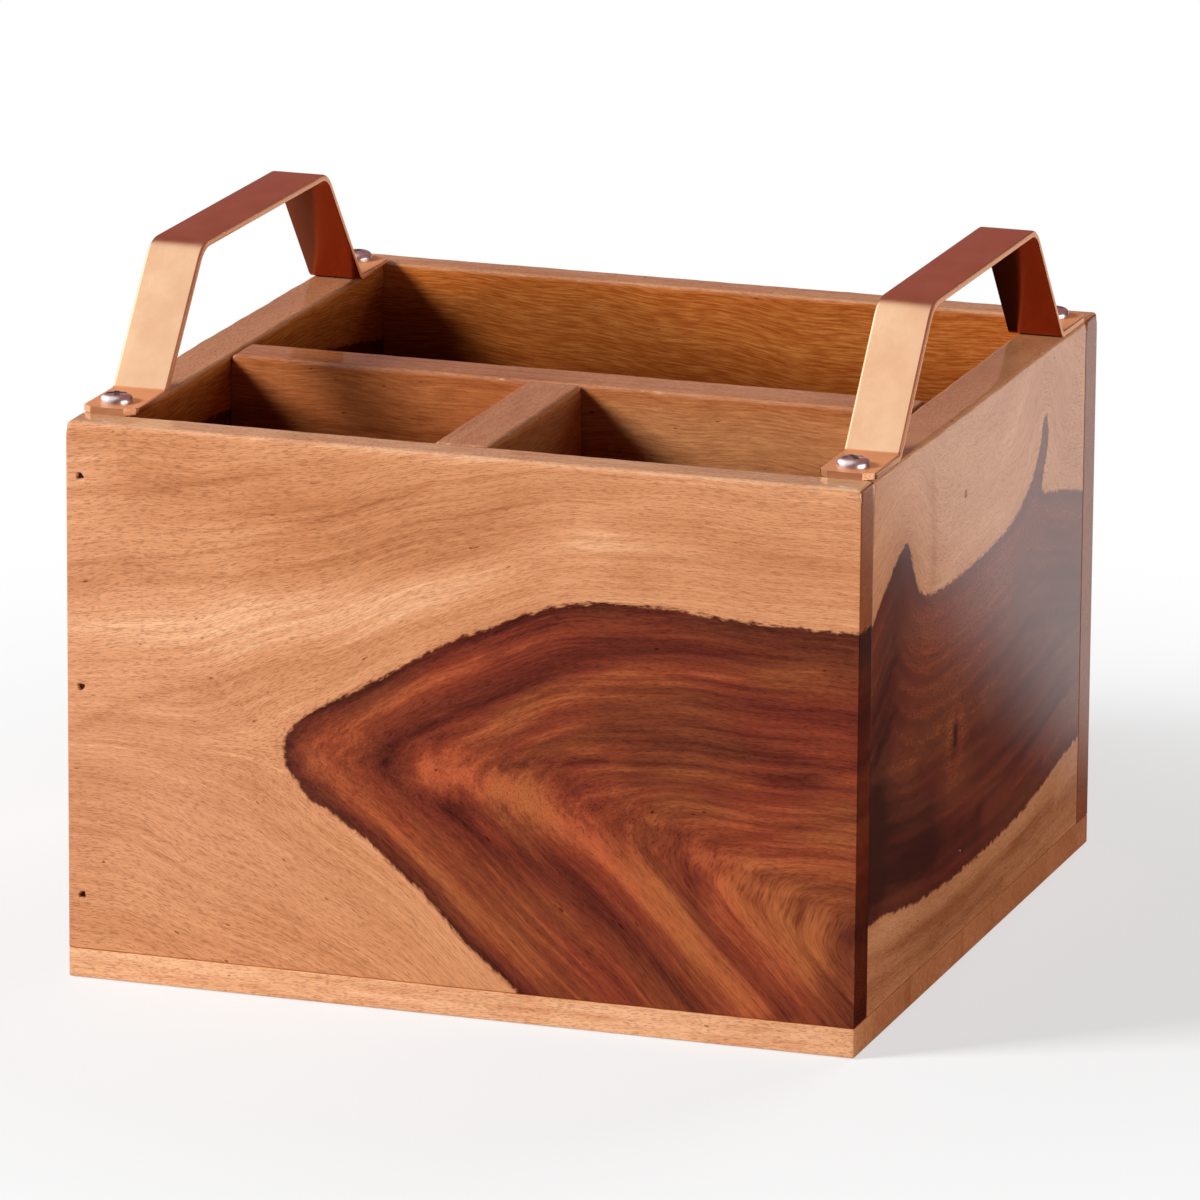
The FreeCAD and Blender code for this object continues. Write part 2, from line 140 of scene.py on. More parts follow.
def soften(points, low, high, seed):
    """The box with its arrises rounded, and how far each point lies on a worn rim."""
    rim = smooth_step((points[:, 2] - RIM_HEIGHT + RIM_FADE + RIM_ARRIS) / RIM_FADE)
    wave = ripple(points[:, 0] + RIPPLE_SKEW * points[:, 1], seed)
    radius = JOINT_ARRIS + rim * (RIM_ARRIS + RIM_ARRIS_SWING * wave - JOINT_ARRIS)
    inner = np.clip(points, low + radius[:, None], high - radius[:, None])
    outward = points - inner
    reach = np.linalg.norm(outward, axis=1)
    arris = np.clip((reach / radius - 1) / (math.sqrt(2) - 1), 0, 1) * rim
    return inner + outward * (radius / reach)[:, None], arris


# %% [markdown]
# The nails are driven below the surface, and each leaves a small dark pit. The pit is real: near a nail
# the mesh lines are close together, and the points inside its rim are pushed in past the nail's head, so
# the solid nail shows at the bottom. The nails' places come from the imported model, evenly spaced along
# each row. The right edge and the middle of the front show no pit, so the nails there are filled over.

# %% Where the nails are
# each row: how many nails it has, and the board that shows their heads
NAIL_ROWS = {
    "front_left_brads": (3, "front_panel"), "front_right_brads": (3, "front_panel"),
    "front_divider_brads": (2, "front_panel"), "back_left_brads": (3, "back_panel"),
    "back_right_brads": (3, "back_panel"), "left_divider_brads": (2, "left_panel"),
    "right_divider_brads": (2, "right_panel"), "cross_divider_brads": (2, "long_divider"),
    "base_front_brads": (2, "base_board"), "base_back_brads": (2, "base_board"),
    "base_left_brads": (2, "base_board"), "base_right_brads": (2, "base_board"),
    "base_long_divider_brads": (2, "base_board"), "base_short_divider_brad": (1, "base_board"),
}
FILLED_ROWS = ("front_right_brads", "front_divider_brads")
LEAST_NAIL_LENGTH = 10.0
PIT_RAGGEDNESS = 0.12
PIT_LOBES = 3


def nails_in(board):
    """For each open nail in a board: the axis it is driven along, the face's side and the head's centre."""
    low, high = node_box(board)
    nails = []
    for row, (count, holder) in NAIL_ROWS.items():
        if holder != board or row in FILLED_ROWS:
            continue
        row_low, row_high = node_box(row)
        at_face = np.minimum(np.abs(row_low - low), np.abs(row_high - high)) < PIT_DEPTH
        drive = int(np.argmax(at_face & (row_high - row_low > LEAST_NAIL_LENGTH)))
        side = 0 if abs(row_low[drive] - low[drive]) < PIT_DEPTH else 1
        first, last = row_low + NAIL_RADIUS, row_high - NAIL_RADIUS
        for share in np.linspace(0, 1, count):
            centre = first + (last - first) * share
            centre[drive] = (low, high)[side][drive]
            nails.append((drive, side, centre))
    return nails


def sink_pits(points, nails):
    """The points pushed in round each nail, and a mask of the pits."""
    sunk = np.zeros(len(points))
    for drive, side, centre in nails:
        offset = points - centre
        depth = np.abs(offset[:, drive])
        offset[:, drive] = 0
        around = np.arctan2(offset[:, (drive + 1) % 3], offset[:, (drive + 2) % 3])
        ragged = PIT_RAGGEDNESS * np.sin(PIT_LOBES * around + centre.sum())
        away = np.linalg.norm(offset, axis=1) + ragged
        pit = np.clip((PIT_RADIUS + PIT_WALL - away) / PIT_WALL, 0, 1) * (depth < LEAST_SPACING)
        points[:, drive] += (1 - 2 * side) * PIT_DEPTH * pit
        sunk = np.maximum(sunk, pit)
    return points, sunk


print("open nails:", sum(len(nails_in(board)) for board in {holder for _, holder in NAIL_ROWS.values()}))

# %% [markdown]
# The figure is what makes this wood. Pale sapwood surrounds a tongue of dark heartwood with a sharp dark
# edge, and inside it run darker and more orange streaks. An image texture could hold that, but a few
# chosen curves are enough: one outline of the heartwood for each board, and some streaks, all in
# millimetres on the board's face. Each point of the mesh then gets its distance to the outline and the
# sum of the streaks as attributes. The curves go straight through the board, so its ends and its inner
# face show the same figure, as in real wood.

# %% Curves of the figure
BEYOND = 400.0
ROUNDING_PASSES = 3
CORNER_CUT = 0.25


def rounded(curve, closed):
    """An outline with its corners cut three times, which leaves a smooth curve."""
    curve = np.array(curve, float)
    for _ in range(ROUNDING_PASSES):
        following = np.roll(curve, -1, axis=0) if closed else curve[1:]
        start = curve if closed else curve[:-1]
        cut = np.empty((2 * len(start), 2))
        cut[0::2] = (1 - CORNER_CUT) * start + CORNER_CUT * following
        cut[1::2] = CORNER_CUT * start + (1 - CORNER_CUT) * following
        curve = cut if closed else np.concatenate([curve[:1], cut, curve[-1:]])
    return curve


def distance_to(places, curve, closed):
    """The distance of each place to a chain of straight runs."""
    ends = np.roll(curve, -1, axis=0) if closed else curve[1:]
    starts = curve if closed else curve[:-1]
    nearest = np.full(len(places), np.inf)
    for start, end in zip(starts, ends):
        run = end - start
        share = np.clip((places - start) @ run / max(run @ run, 1e-9), 0, 1)
        nearest = np.minimum(nearest, np.linalg.norm(places - start - share[:, None] * run, axis=1))
    return nearest


def inside_of(places, curve):
    """Whether each place lies within a closed outline, by counting crossings."""
    inside = np.zeros(len(places), bool)
    for (x0, z0), (x1, z1) in zip(curve, np.roll(curve, -1, axis=0)):
        spans = (z0 > places[:, 1]) != (z1 > places[:, 1])
        if z0 != z1:
            inside ^= spans & (places[:, 0] < x0 + (places[:, 1] - z0) * (x1 - x0) / (z1 - z0))
    return inside


def heart_depth(places, outline):
    """How deep each place lies in the heartwood; outside it is negative."""
    curve = rounded(outline, True)
    depth = distance_to(places, curve, True)
    return np.where(inside_of(places, curve), depth, -depth)


def streak_tone(places, streaks):
    """The sum of the streaks: above zero is paler, below is darker."""
    tone = np.zeros(len(places))
    for strength, width, line in streaks:
        away = distance_to(places, rounded(line, False), False)
        tone += strength * np.exp(-(away / width) ** 2)
    return tone


# %% [markdown]
# The front board shows a broad tongue of heartwood that comes in from the right. Each streak below is its
# strength, its half width and its line. Negative strengths are the dark growth rings.

# %% Figure of the front board
FRONT_HEART = [
    (BEYOND, 92), (72, 92), (47, 94.5), (30, 94.5), (16, 91), (6, 86), (-4, 82), (-17, 73.5), (-27, 68),
    (-36, 63), (-41, 55), (-34, 45), (-24, 40), (-14, 32), (-7, 26), (2, 16), (9, 11), (30, -8),
    (BEYOND, -BEYOND),
]
FRONT_STREAKS = [
    (-0.85, 3.0, [(-17, 56), (-9, 64), (15, 76), (26, 82), (36, 85), (58, 85), (90, 87)]),
    (-0.5, 2.4, [(-17, 55), (-14, 50), (-8, 47), (1, 46)]),
    (-0.55, 4.8, [(0, 46), (6, 39), (14, 36), (23, 34), (30, 29), (36, 23), (45, 16), (54, 8)]),
    (-0.7, 2.6, [(52, 36), (54, 27), (59, 21), (66, 14), (74, 8)]),
    (-0.6, 4.5, [(89, 30), (84, 20), (88, 8)]),
    (0.4, 7.0, [(66, 46), (90, 46)]),
    (-0.45, 6.5, [(35, 68), (55, 72), (72, 75), (90, 75)]),
    (-0.55, 4.5, [(41, 61), (55, 64), (68, 64), (77, 61)]),
    (-0.6, 0.9, [(10, 56), (21, 59), (33, 60)]),
    (-0.6, 0.8, [(70, 59), (80, 61), (90, 64)]),
    (-0.5, 1.0, [(58, 45), (72, 48), (90, 53)]),
    (0.45, 2.6, [(-6, 57), (9, 65), (21, 71), (35, 79), (46, 81), (62, 82), (80, 83)]),
    (1.0, 4.2, [(-6, 53), (3, 53), (19, 49), (32, 40), (43, 32), (54, 21), (66, 9)]),
    (0.75, 8.0, [(62, 33), (70, 28), (76, 20)]),
    (0.5, 2.6, [(-31, 55), (-23, 62), (-8, 72), (4, 79)]),
    (-0.3, 2.2, [(14, 87), (30, 91), (60, 89.5), (90, 89)]),
    (0.45, 2.6, [(-30, 52), (-19, 44), (-8, 35), (4, 24), (18, 13)]),
    (-0.55, 0.9, [(-89, 54), (-73, 64), (-55, 69), (-36, 75), (-17, 82), (2, 90), (20, 98)]),
    (-0.4, 9.0, [(-70, 114), (-38, 108), (-8, 108), (12, 112)]),
    (-0.3, 4.0, [(-45, 93), (-15, 99), (10, 104), (40, 101)]),
    (-0.5, 1.0, [(-90, 91), (-69, 94), (-46, 100), (-25, 109), (-7, 116)]),
    (-0.45, 0.8, [(-90, 88), (-60, 91), (-40, 94), (-20, 100), (0, 107), (25, 111)]),
    (-0.4, 0.9, [(-89, 107), (-62, 111), (-41, 117), (-20, 121)]),
    (0.55, 6.5, [(-88, 76), (-55, 80), (-25, 88), (0, 97), (30, 106)]),
    (0.9, 2.0, [(-90, 124.5), (90, 124.5)]),
    (-0.15, 9.0, [(-88, 40), (-66, 30), (-40, 20)]),
    (-0.25, 7.0, [(-88, 18), (-70, 13), (-50, 9)]),
]
print("front board: heartwood outline of", len(FRONT_HEART), "points and", len(FRONT_STREAKS), "streaks")

# %% [markdown]
# The other boards come from the same log. The right board has a spire and a thin dark shoot above its
# broad heartwood, and a slot-shaped knot. The left board is heartwood almost to the rim, as its inner
# face shows. The rest is chosen to suit: the back board has a low cathedral, and the base and the
# dividers are mostly sapwood.

# %% Figures of the other boards
RIGHT_HEART = [
    (-BEYOND, 84), (-92, 86), (-83, 90), (-76, 95), (-67, 100), (-60, 103.5), (-55.5, 105), (-52.5, 101),
    (-50, 96), (-46, 91), (-38, 88.5), (-15, 87.5), (9, 88.5), (25, 90), (34, 93.5), (41, 98), (45, 103),
    (47.5, 110), (50.5, 108), (51, 101), (47, 95.5), (46, 91.5), (55, 90), (70, 87), (83, 83), (BEYOND, 70),
    (BEYOND, 28), (84, 27.5), (66, 26), (50, 23), (34, 21), (0, 20), (-35, 21), (-58, 24), (-83, 28),
    (-BEYOND, 30),
]
RIGHT_STREAKS = [
    (-1.6, 1.3, [(-17.5, 51), (-17.5, 54)]),
    (0.35, 2.5, [(-22, 46), (-23, 54), (-18, 62), (-12, 56), (-13, 47), (-18, 43), (-22, 46)]),
    (-0.9, 11.0, [(-80, 36), (-76, 55), (-70, 75), (-60, 98)]),
    (-0.9, 11.0, [(-72, 44), (-54, 40), (-38, 36)]),
    (-0.7, 4.0, [(-88, 35), (-60, 33), (-30, 31), (0, 28)]),
    (0.35, 4.0, [(-68, 57), (-50, 53)]),
    (-0.45, 30.0, [(-80, 56), (80, 54)]),
    (0.3, 12.0, [(-36, 76), (-8, 70), (16, 78)]),
    (-0.6, 1.5, [(-86, 33), (-55, 29), (-20, 25), (20, 25), (50, 28)]),
    (-0.5, 1.5, [(0, 31), (40, 35), (70, 42)]),
    (-0.3, 8.0, [(0, 44), (30, 40), (60, 46)]),
    (-0.3, 9.0, [(30, 70), (50, 66), (80, 60)]),
    (-0.6, 2.6, [(-38, 114), (-36, 104), (-36, 92)]),
    (0.3, 8.0, [(-20, 98), (10, 100), (30, 108)]),
    (-0.9, 9.0, [(-88, 12), (-20, 10), (40, 10), (88, 14)]),
    (-0.5, 1.4, [(-88, 20), (-50, 15), (0, 13), (60, 17)]),
    (-0.4, 1.4, [(-88, 13), (-40, 10), (20, 9)]),
]
LEFT_HEART = [
    (-BEYOND, 108), (-90, 110), (-50, 113), (-10, 111), (30, 113), (60, 109), (90, 104), (BEYOND, 98),
    (BEYOND, 40), (90, 36), (70, 39), (50, 36), (22, 26), (-8, 15), (-40, 8), (-70, 2), (-BEYOND, -BEYOND),
]
LEFT_STREAKS = [
    (-0.8, 3.0, [(-90, 98), (-50, 102), (-10, 98), (30, 101), (90, 90)]),
    (0.8, 5.0, [(-90, 82), (-40, 88), (0, 80), (40, 84), (90, 74)]),
    (-0.7, 5.0, [(-90, 62), (-30, 70), (20, 60), (90, 58)]),
    (0.6, 5.0, [(-90, 44), (-30, 50), (20, 42), (60, 47), (90, 46)]),
    (-0.7, 3.0, [(-90, 24), (-40, 26), (0, 26), (40, 38), (70, 45), (90, 42)]),
    (-0.5, 1.0, [(-20, 4), (20, 16), (50, 27), (90, 27)]),
]
BACK_HEART = [
    (-BEYOND, 60), (-90, 58), (-62, 60), (-30, 54), (0, 42), (22, 31), (30, 24), (20, 16), (0, 10), (-20, 4),
    (-60, -BEYOND), (-BEYOND, -BEYOND),
]
BACK_STREAKS = [
    (-0.8, 2.4, [(-90, 50), (-60, 52), (-30, 46), (-5, 36), (10, 27)]),
    (0.7, 4.0, [(-90, 40), (-55, 42), (-28, 35), (-10, 26)]),
    (-0.7, 5.0, [(-90, 26), (-60, 28), (-35, 20)]),
    (-0.5, 0.9, [(-90, 74), (-50, 74), (-10, 62), (30, 44), (60, 24), (90, 14)]),
    (-0.4, 1.0, [(-90, 92), (-40, 90), (10, 80), (50, 64), (90, 50)]),
    (-0.5, 1.0, [(-90, 105), (-30, 104), (40, 99), (90, 100)]),
    (-0.4, 0.8, [(-90, 112), (-20, 109), (50, 107), (90, 111)]),
    (0.6, 12.0, [(-80, 112), (0, 110), (80, 112)]),
]
BASE_HEART = [(-BEYOND, 20), (-70, 24), (-30, 40), (10, 48), (30, 56), (0, 70), (-40, 86), (-BEYOND, BEYOND)]
BASE_STREAKS = [
    (-0.6, 2.0, [(-90, -30), (-20, -20), (40, -34), (90, -50)]),
    (0.4, 6.0, [(-90, -70), (0, -62), (90, -76)]),
    (0.7, 6.0, [(-90, -90), (90, -90)]),
    (-0.5, 1.0, [(-90, 10), (-30, 20), (40, 6), (90, -10)]),
]
DIVIDER_HEART = [
    (-BEYOND, 30), (-40, 34), (0, 26), (40, 20), (BEYOND, 24), (BEYOND, -BEYOND), (-BEYOND, -BEYOND),
]
DIVIDER_STREAKS = [
    (-0.7, 2.5, [(-90, 124), (90, 124)]),
    (-0.5, 1.2, [(-90, 112), (-20, 108), (30, 110), (90, 106)]),
    (0.4, 4.0, [(-90, 102), (0, 98), (90, 100)]),
    (-0.4, 3.0, [(-90, 84), (0, 88), (90, 82)]),
]
LONG_DIVIDER_STREAKS_AND_PAINTED_LIGHT = DIVIDER_STREAKS + [
    # painted light and shade: the right half of the long divider is painted paler, and the left half darker,
    # as shaded by the left wall and the left handle
    (1.4, 20.0, [(14, 102), (90, 102)]),
    (-0.6, 20.0, [(-70, 102), (-14, 102)]),
]
SHORT_DIVIDER_STREAKS = DIVIDER_STREAKS + [(1.2, 20.0, [(-90, 102), (-20, 102)])]
print("right board:", len(RIGHT_STREAKS), "streaks, left board:", len(LEFT_STREAKS), "streaks")


# %% [markdown]
# A board joins all of this: the rounded and pitted mesh, the figure in the plane of its face, and
# attributes for the surface. The grain attribute is a place in the wood: along the fibres, across them
# and through the board. In the heartwood the fibres run with its outline, which nests the growth rings
# like tongues. Outside they are pushed aside by it and run level further off.

# %% Making a board
ALONG_X = (0, 1, 2)
ALONG_Y = (1, 0, 2)
FLAT_ALONG_X = (0, 2, 1)
FOLLOW_REACH = 40.0
SIDE_REACH = 12.0
SIDE_SHIFT = 6.0
LEAN_STRETCH = 4.0
CREASE_RADIUS = 8.0
CREASE_STEPS = 6
# painted shade: how far below the rim the bays' inner faces reach their darkest
BAY_FADE = 36.0
NEXT_BOARD_STEP = 50.0


def set_attribute(mesh, name, values):
    """A value or a vector for each point of a mesh."""
    kind = "FLOAT_VECTOR" if values.ndim == 2 else "FLOAT"
    attribute = mesh.attributes.new(name, kind, "POINT")
    attribute.data.foreach_set("vector" if values.ndim == 2 else "value", values.astype(np.float32).ravel())


def new_piece(name, mesh):
    """An object in the scene that carries a mesh, a curve, a lamp or a camera."""
    piece = bpy.data.objects.new(name, mesh)
    bpy.context.scene.collection.objects.link(piece)
    return piece


def rounded_depth(places, outline):
    """The depth averaged over a ring round each place, which rounds the crease where two edges meet."""
    total = np.zeros(len(places))
    for turn in np.linspace(0, 2 * math.pi, CREASE_STEPS, endpoint=False):
        step = CREASE_RADIUS * np.array([math.cos(turn), math.sin(turn)])
        total += heart_depth(places + step, outline)
    return total / CREASE_STEPS


def across_fibres(places, depth, tip_height):
    """A count across the fibres, and on which side of the heartwood's tip each place lies."""
    side = np.tanh((places[:, 1] - tip_height) / SIDE_REACH)
    near = np.exp(np.minimum(depth, 0) / FOLLOW_REACH)
    pushed = places[:, 1] * (1 - near) + (tip_height - depth * side) * near
    return np.where(depth > 0, tip_height - depth, pushed), side


def make_board(name, layout, heart, streaks, tip_height, inner_faces, seed):
    """A board in place of the solid of the same name. The layout gives the axes along the fibres, through
    the board and up. The fibres part at the height of the heartwood's tip. Each inner face is an axis and
    a side."""
    along, through, up = layout
    low, high = node_box(name)
    nails = nails_in(name)
    lines = []
    for axis in range(3):
        near = {round(centre[axis], 3) for drive, _, centre in nails if drive != axis}
        lines.append(mesh_lines(low[axis], high[axis], sorted(near)))
    flat, quads = lined_box(lines)
    points, arris = soften(flat, low, high, seed)
    points, pits = sink_pits(points, nails)

    mesh = bpy.data.meshes.new(name + "_board")
    mesh.from_pydata(points * MM, [], quads.tolist())
    mesh.polygons.foreach_set("use_smooth", np.ones(len(quads), bool))
    places, owner = np.unique(flat[:, [along, up]], axis=0, return_inverse=True)
    owner = owner.reshape(-1)
    lean = ripple(flat[:, along] / LEAN_STRETCH, seed + 1)
    across, side = across_fibres(places, rounded_depth(places, heart), tip_height)
    layer = flat[:, through] + NEXT_BOARD_STEP * seed + SIDE_SHIFT * side[owner]
    set_attribute(mesh, "heart", heart_depth(places, heart)[owner])
    set_attribute(mesh, "tone", streak_tone(places, streaks)[owner])
    set_attribute(mesh, "grain", np.stack([flat[:, along], across[owner] + lean, layer], axis=1))
    set_attribute(mesh, "arris", arris)
    set_attribute(mesh, "pit", pits)
    ends = np.minimum(flat[:, along] - low[along], high[along] - flat[:, along]) < LEAST_SPACING
    set_attribute(mesh, "end_grain", ends.astype(float))
    inside = np.zeros(len(flat))
    for axis, face_side in inner_faces:
        off_face = np.abs(flat[:, axis] - (low, high)[face_side][axis])
        inside = np.maximum(inside, off_face < LEAST_SPACING)
    set_attribute(mesh, "inside", inside * (1 - arris))
    # painted shade: the inner faces darken towards the bottom of the bays
    set_attribute(mesh, "deep", inside * smooth_step((RIM_HEIGHT - flat[:, 2]) / BAY_FADE))
    mesh.validate()
    piece = new_piece(name + "_board", mesh)
    print(piece.name, "points:", len(points), "pits:", len(nails))
    return piece


# %% The seven boards
X, Y, Z = range(3)
# each plan: layout, heartwood, streaks, height of the heartwood's tip, inner faces
BOARD_PLANS = {
    "front_panel": (ALONG_X, FRONT_HEART, FRONT_STREAKS, 55.0, [(Y, 1)]),
    "back_panel": (ALONG_X, BACK_HEART, BACK_STREAKS, 24.0, [(Y, 0)]),
    "left_panel": (ALONG_Y, LEFT_HEART, LEFT_STREAKS, 60.0, [(X, 1)]),
    "right_panel": (ALONG_Y, RIGHT_HEART, RIGHT_STREAKS, 55.0, [(X, 0)]),
    "long_divider": (ALONG_X, DIVIDER_HEART, LONG_DIVIDER_STREAKS_AND_PAINTED_LIGHT, 26.0, [(Y, 0), (Y, 1)]),
    "short_divider": (ALONG_Y, DIVIDER_HEART, SHORT_DIVIDER_STREAKS, 26.0, [(X, 0), (X, 1)]),
    "base_board": (FLAT_ALONG_X, BASE_HEART, BASE_STREAKS, 56.0, [(Z, 1)]),
}
boards = {}
for seed, (board_name, plan) in enumerate(BOARD_PLANS.items(), start=1):
    boards[board_name] = make_board(board_name, *plan, seed)

# %% [markdown]
# Nodes are laid by small helpers. One lays any node: a value given to an input is set on it, and a socket
# is linked. The others are what the shaders need again and again: sums, vectors, eased ranges, noise and
# mixes.


# %% Helpers for node trees
def add(tree, kind, inputs=None, **settings):
    """One node with its settings and inputs."""
    made = tree.nodes.new(kind)
    for name, setting in settings.items():
        setattr(made, name, setting)
    for key, source in (inputs or {}).items():
        if isinstance(source, bpy.types.NodeSocket):
            tree.links.new(source, made.inputs[key])
        else:
            made.inputs[key].default_value = source
    return made


def calc(tree, operation, *terms):
    """The result of one sum, with numbers or sockets as its terms."""
    return add(tree, "ShaderNodeMath", dict(enumerate(terms)), operation=operation).outputs[0]


def ease(tree, value, start, end, low=0.0, high=1.0):
    """A value taken from one range to another with soft ends."""
    inputs = {"Value": value, "From Min": start, "From Max": end, "To Min": low, "To Max": high}
    return add(tree, "ShaderNodeMapRange", inputs, interpolation_type="SMOOTHSTEP").outputs["Result"]


def noise(tree, place, detail, roughness=0.5):
    """Smooth noise about half way between 0 and 1, one blotch for each unit of the place."""
    inputs = {"Vector": place, "Scale": 1.0, "Detail": detail, "Roughness": roughness}
    return add(tree, "ShaderNodeTexNoise", inputs).outputs["Fac"]


def vector(tree, **axes):
    """A vector from its X, Y and Z; those not given are zero."""
    return add(tree, "ShaderNodeCombineXYZ", axes).outputs[0]


def split(tree, place):
    """The X, Y and Z of a vector."""
    return add(tree, "ShaderNodeSeparateXYZ", {0: place}).outputs


def scaled(tree, place, scale):
    """A vector multiplied axis by axis."""
    return add(tree, "ShaderNodeVectorMath", {0: place, 1: scale}, operation="MULTIPLY").outputs[0]


def dot(tree, first, second):
    """How far one vector reaches along another."""
    return add(tree, "ShaderNodeVectorMath", {0: first, 1: second}, operation="DOT_PRODUCT").outputs["Value"]


def stretch(tree, place, along, across):
    """A place measured in blotches that are so long and so wide."""
    lengthwise = calc(tree, "DIVIDE", 1.0, along)
    crosswise = calc(tree, "DIVIDE", 1.0, across)
    return scaled(tree, place, vector(tree, X=lengthwise, Y=crosswise, Z=crosswise))


def blend(tree, share, first, second, way="MIX"):
    """Two colours mixed."""
    inputs = {0: share, 6: first, 7: second}
    return add(tree, "ShaderNodeMix", inputs, data_type="RGBA", blend_type=way).outputs[2]


def paint(red, green, blue):
    """A colour as a picture shows it, from 0 to 255, made linear for the shader."""
    shares = [part / 255 for part in (red, green, blue)]
    return tuple(s / 12.92 if s <= 0.04045 else ((s + 0.055) / 1.055) ** 2.4 for s in shares) + (1.0,)


def ramp(tree, value, colours):
    """A value turned into colours, evenly spaced from dark to pale."""
    made = add(tree, "ShaderNodeValToRGB", {"Fac": value})
    stops = made.color_ramp.elements
    while len(stops) < len(colours):
        stops.new(0.5)
    for number, colour in enumerate(colours):
        stops[number].position = number / (len(colours) - 1)
        stops[number].color = colour
    return made.outputs["Color"]


def new_group(name, takes, gives):
    """An empty shader group with named inputs and outputs."""
    group = bpy.data.node_groups.new(name, "ShaderNodeTree")
    for label, kind, start in takes:
        socket = group.interface.new_socket(label, in_out="INPUT", socket_type="NodeSocket" + kind)
        if start is not None:
            socket.default_value = start
    for label in gives:
        group.interface.new_socket(label, in_out="OUTPUT", socket_type="NodeSocketFloat")
    return group, group.nodes.new("NodeGroupInput").outputs, group.nodes.new("NodeGroupOutput").inputs


def use_group(tree, group, inputs):
    """A group laid in a tree."""
    return add(tree, "ShaderNodeGroup", inputs, node_tree=group).outputs


def new_material(name):
    """A new material, its tree and its shader."""
    material = bpy.data.materials.new(name)
    material.use_nodes = True
    return material, material.node_tree, material.node_tree.nodes["Principled BSDF"]


# %% [markdown]
# Grain is the effect that all the wood shares, so it is a group. Long soft streaks follow the fibres,
# with fine short ones between them. Open pores make short dark flecks, a few bark specks are darker
# still, and slow clouds shift the tone from place to place. A fine noise gives the edge of the heartwood
# its teeth. All are noise that is stretched along the grain attribute, so on the end of a board the
# flecks turn to dots.

# %% Group for the grain, with sizes in millimetres
FIBRE_SIZE = (6.0, 0.45)
BARK_SIZE = (3.2, 1.3)
CLOUD_SIZE = (40.0, 14.0)
TOOTH_SIZE = (1.8, 0.9)
FLECK_LIMITS = (0.46, 0.7)
BARK_LIMITS = (0.76, 0.81)

grain_group, takes, gives = new_group("wood_grain", [
    ("Grain", "Vector", None), ("Streak length", "Float", 45.0), ("Streak width", "Float", 1.6),
    ("Fleck length", "Float", 1.5), ("Fleck width", "Float", 0.2)],
    ["Streak", "Fibre", "Fleck", "Speck", "Cloud", "Tooth"])
in_wood = takes["Grain"]
streaks_at = stretch(grain_group, in_wood, takes["Streak length"], takes["Streak width"])
flecks_at = stretch(grain_group, in_wood, takes["Fleck length"], takes["Fleck width"])
pores = noise(grain_group, flecks_at, detail=2.0)
bark = noise(grain_group, stretch(grain_group, in_wood, *BARK_SIZE), detail=1.0)
grain_masks = {
    "Streak": noise(grain_group, streaks_at, detail=5.0, roughness=0.62),
    "Fibre": noise(grain_group, stretch(grain_group, in_wood, *FIBRE_SIZE), detail=2.0),
    "Fleck": ease(grain_group, pores, *FLECK_LIMITS),
    "Speck": ease(grain_group, bark, *BARK_LIMITS),
    "Cloud": noise(grain_group, stretch(grain_group, in_wood, *CLOUD_SIZE), detail=3.0),
    "Tooth": noise(grain_group, stretch(grain_group, in_wood, *TOOTH_SIZE), detail=3.0),
}
for label, mask in grain_masks.items():
    grain_group.links.new(mask, gives[label])
print("grain group masks:", sorted(grain_masks))

# %% [markdown]
# The heartwood group turns the distance attribute into a mask with a ragged edge, a dark line just inside
# that edge and slow rings further in.

# %% Group for the heartwood, with sizes in millimetres
EDGE_SOFTNESS = 0.5
EDGE_LINE_WIDTH = 5.5
RINGS_PER_MM = 0.3

heart_group, takes, gives = new_group("heartwood", [
    ("Depth", "Float", 0.0), ("Ragged", "Float", 0.5), ("Raggedness", "Float", 2.6)],
    ["Heart", "Edge", "Ring"])
off_middle = calc(heart_group, "SUBTRACT", takes["Ragged"], 0.5)
waver = calc(heart_group, "MULTIPLY", off_middle, takes["Raggedness"])
depth = calc(heart_group, "ADD", takes["Depth"], waver)
heart = ease(heart_group, depth, -EDGE_SOFTNESS, EDGE_SOFTNESS)
edge = calc(heart_group, "MULTIPLY", heart, ease(heart_group, depth, 0.0, EDGE_LINE_WIDTH, 1.0, 0.0))
rings_at = vector(heart_group, Y=calc(heart_group, "MULTIPLY", depth, RINGS_PER_MM))
heart_group.links.new(heart, gives["Heart"])
heart_group.links.new(edge, gives["Edge"])
heart_group.links.new(noise(heart_group, rings_at, detail=2.0), gives["Ring"])
print("heartwood group nodes:", len(heart_group.nodes))

# %% [markdown]
# The finish is a satin lacquer. It is smoother where it pools and duller over open pores, and the rim has
# small pale chips where the arris was knocked. The group gives the chips as a mask and the dullness as a
# roughness.

# %% Group for the lacquer, with sizes in millimetres
CHIP_SIZE = (3.0, 2.0)
CHIP_LIMITS = (0.6, 0.74)
WORN_LIMITS = (0.15, 0.7)
LEAST_DULLNESS = 0.05
FLECK_DULLNESS = 0.03
CLOUD_DULLNESS = 0.06

lacquer_group, takes, gives = new_group("satin_lacquer", [
    ("Grain", "Vector", None), ("Arris", "Float", 0.0), ("Fleck", "Float", 0.0), ("Cloud", "Float", 0.5)],
    ["Chip", "Dullness"])
knocks = noise(lacquer_group, stretch(lacquer_group, takes["Grain"], *CHIP_SIZE), detail=3.0)
chips = ease(lacquer_group, knocks, *CHIP_LIMITS)
worn = ease(lacquer_group, takes["Arris"], *WORN_LIMITS)
lacquer_group.links.new(calc(lacquer_group, "MULTIPLY", chips, worn), gives["Chip"])
dull = calc(lacquer_group, "MULTIPLY_ADD", takes["Fleck"], FLECK_DULLNESS, LEAST_DULLNESS)
dull = calc(lacquer_group, "ADD", dull, calc(lacquer_group, "MULTIPLY", takes["Cloud"], CLOUD_DULLNESS))
lacquer_group.links.new(dull, gives["Dullness"])
print("lacquer group nodes:", len(lacquer_group.nodes))
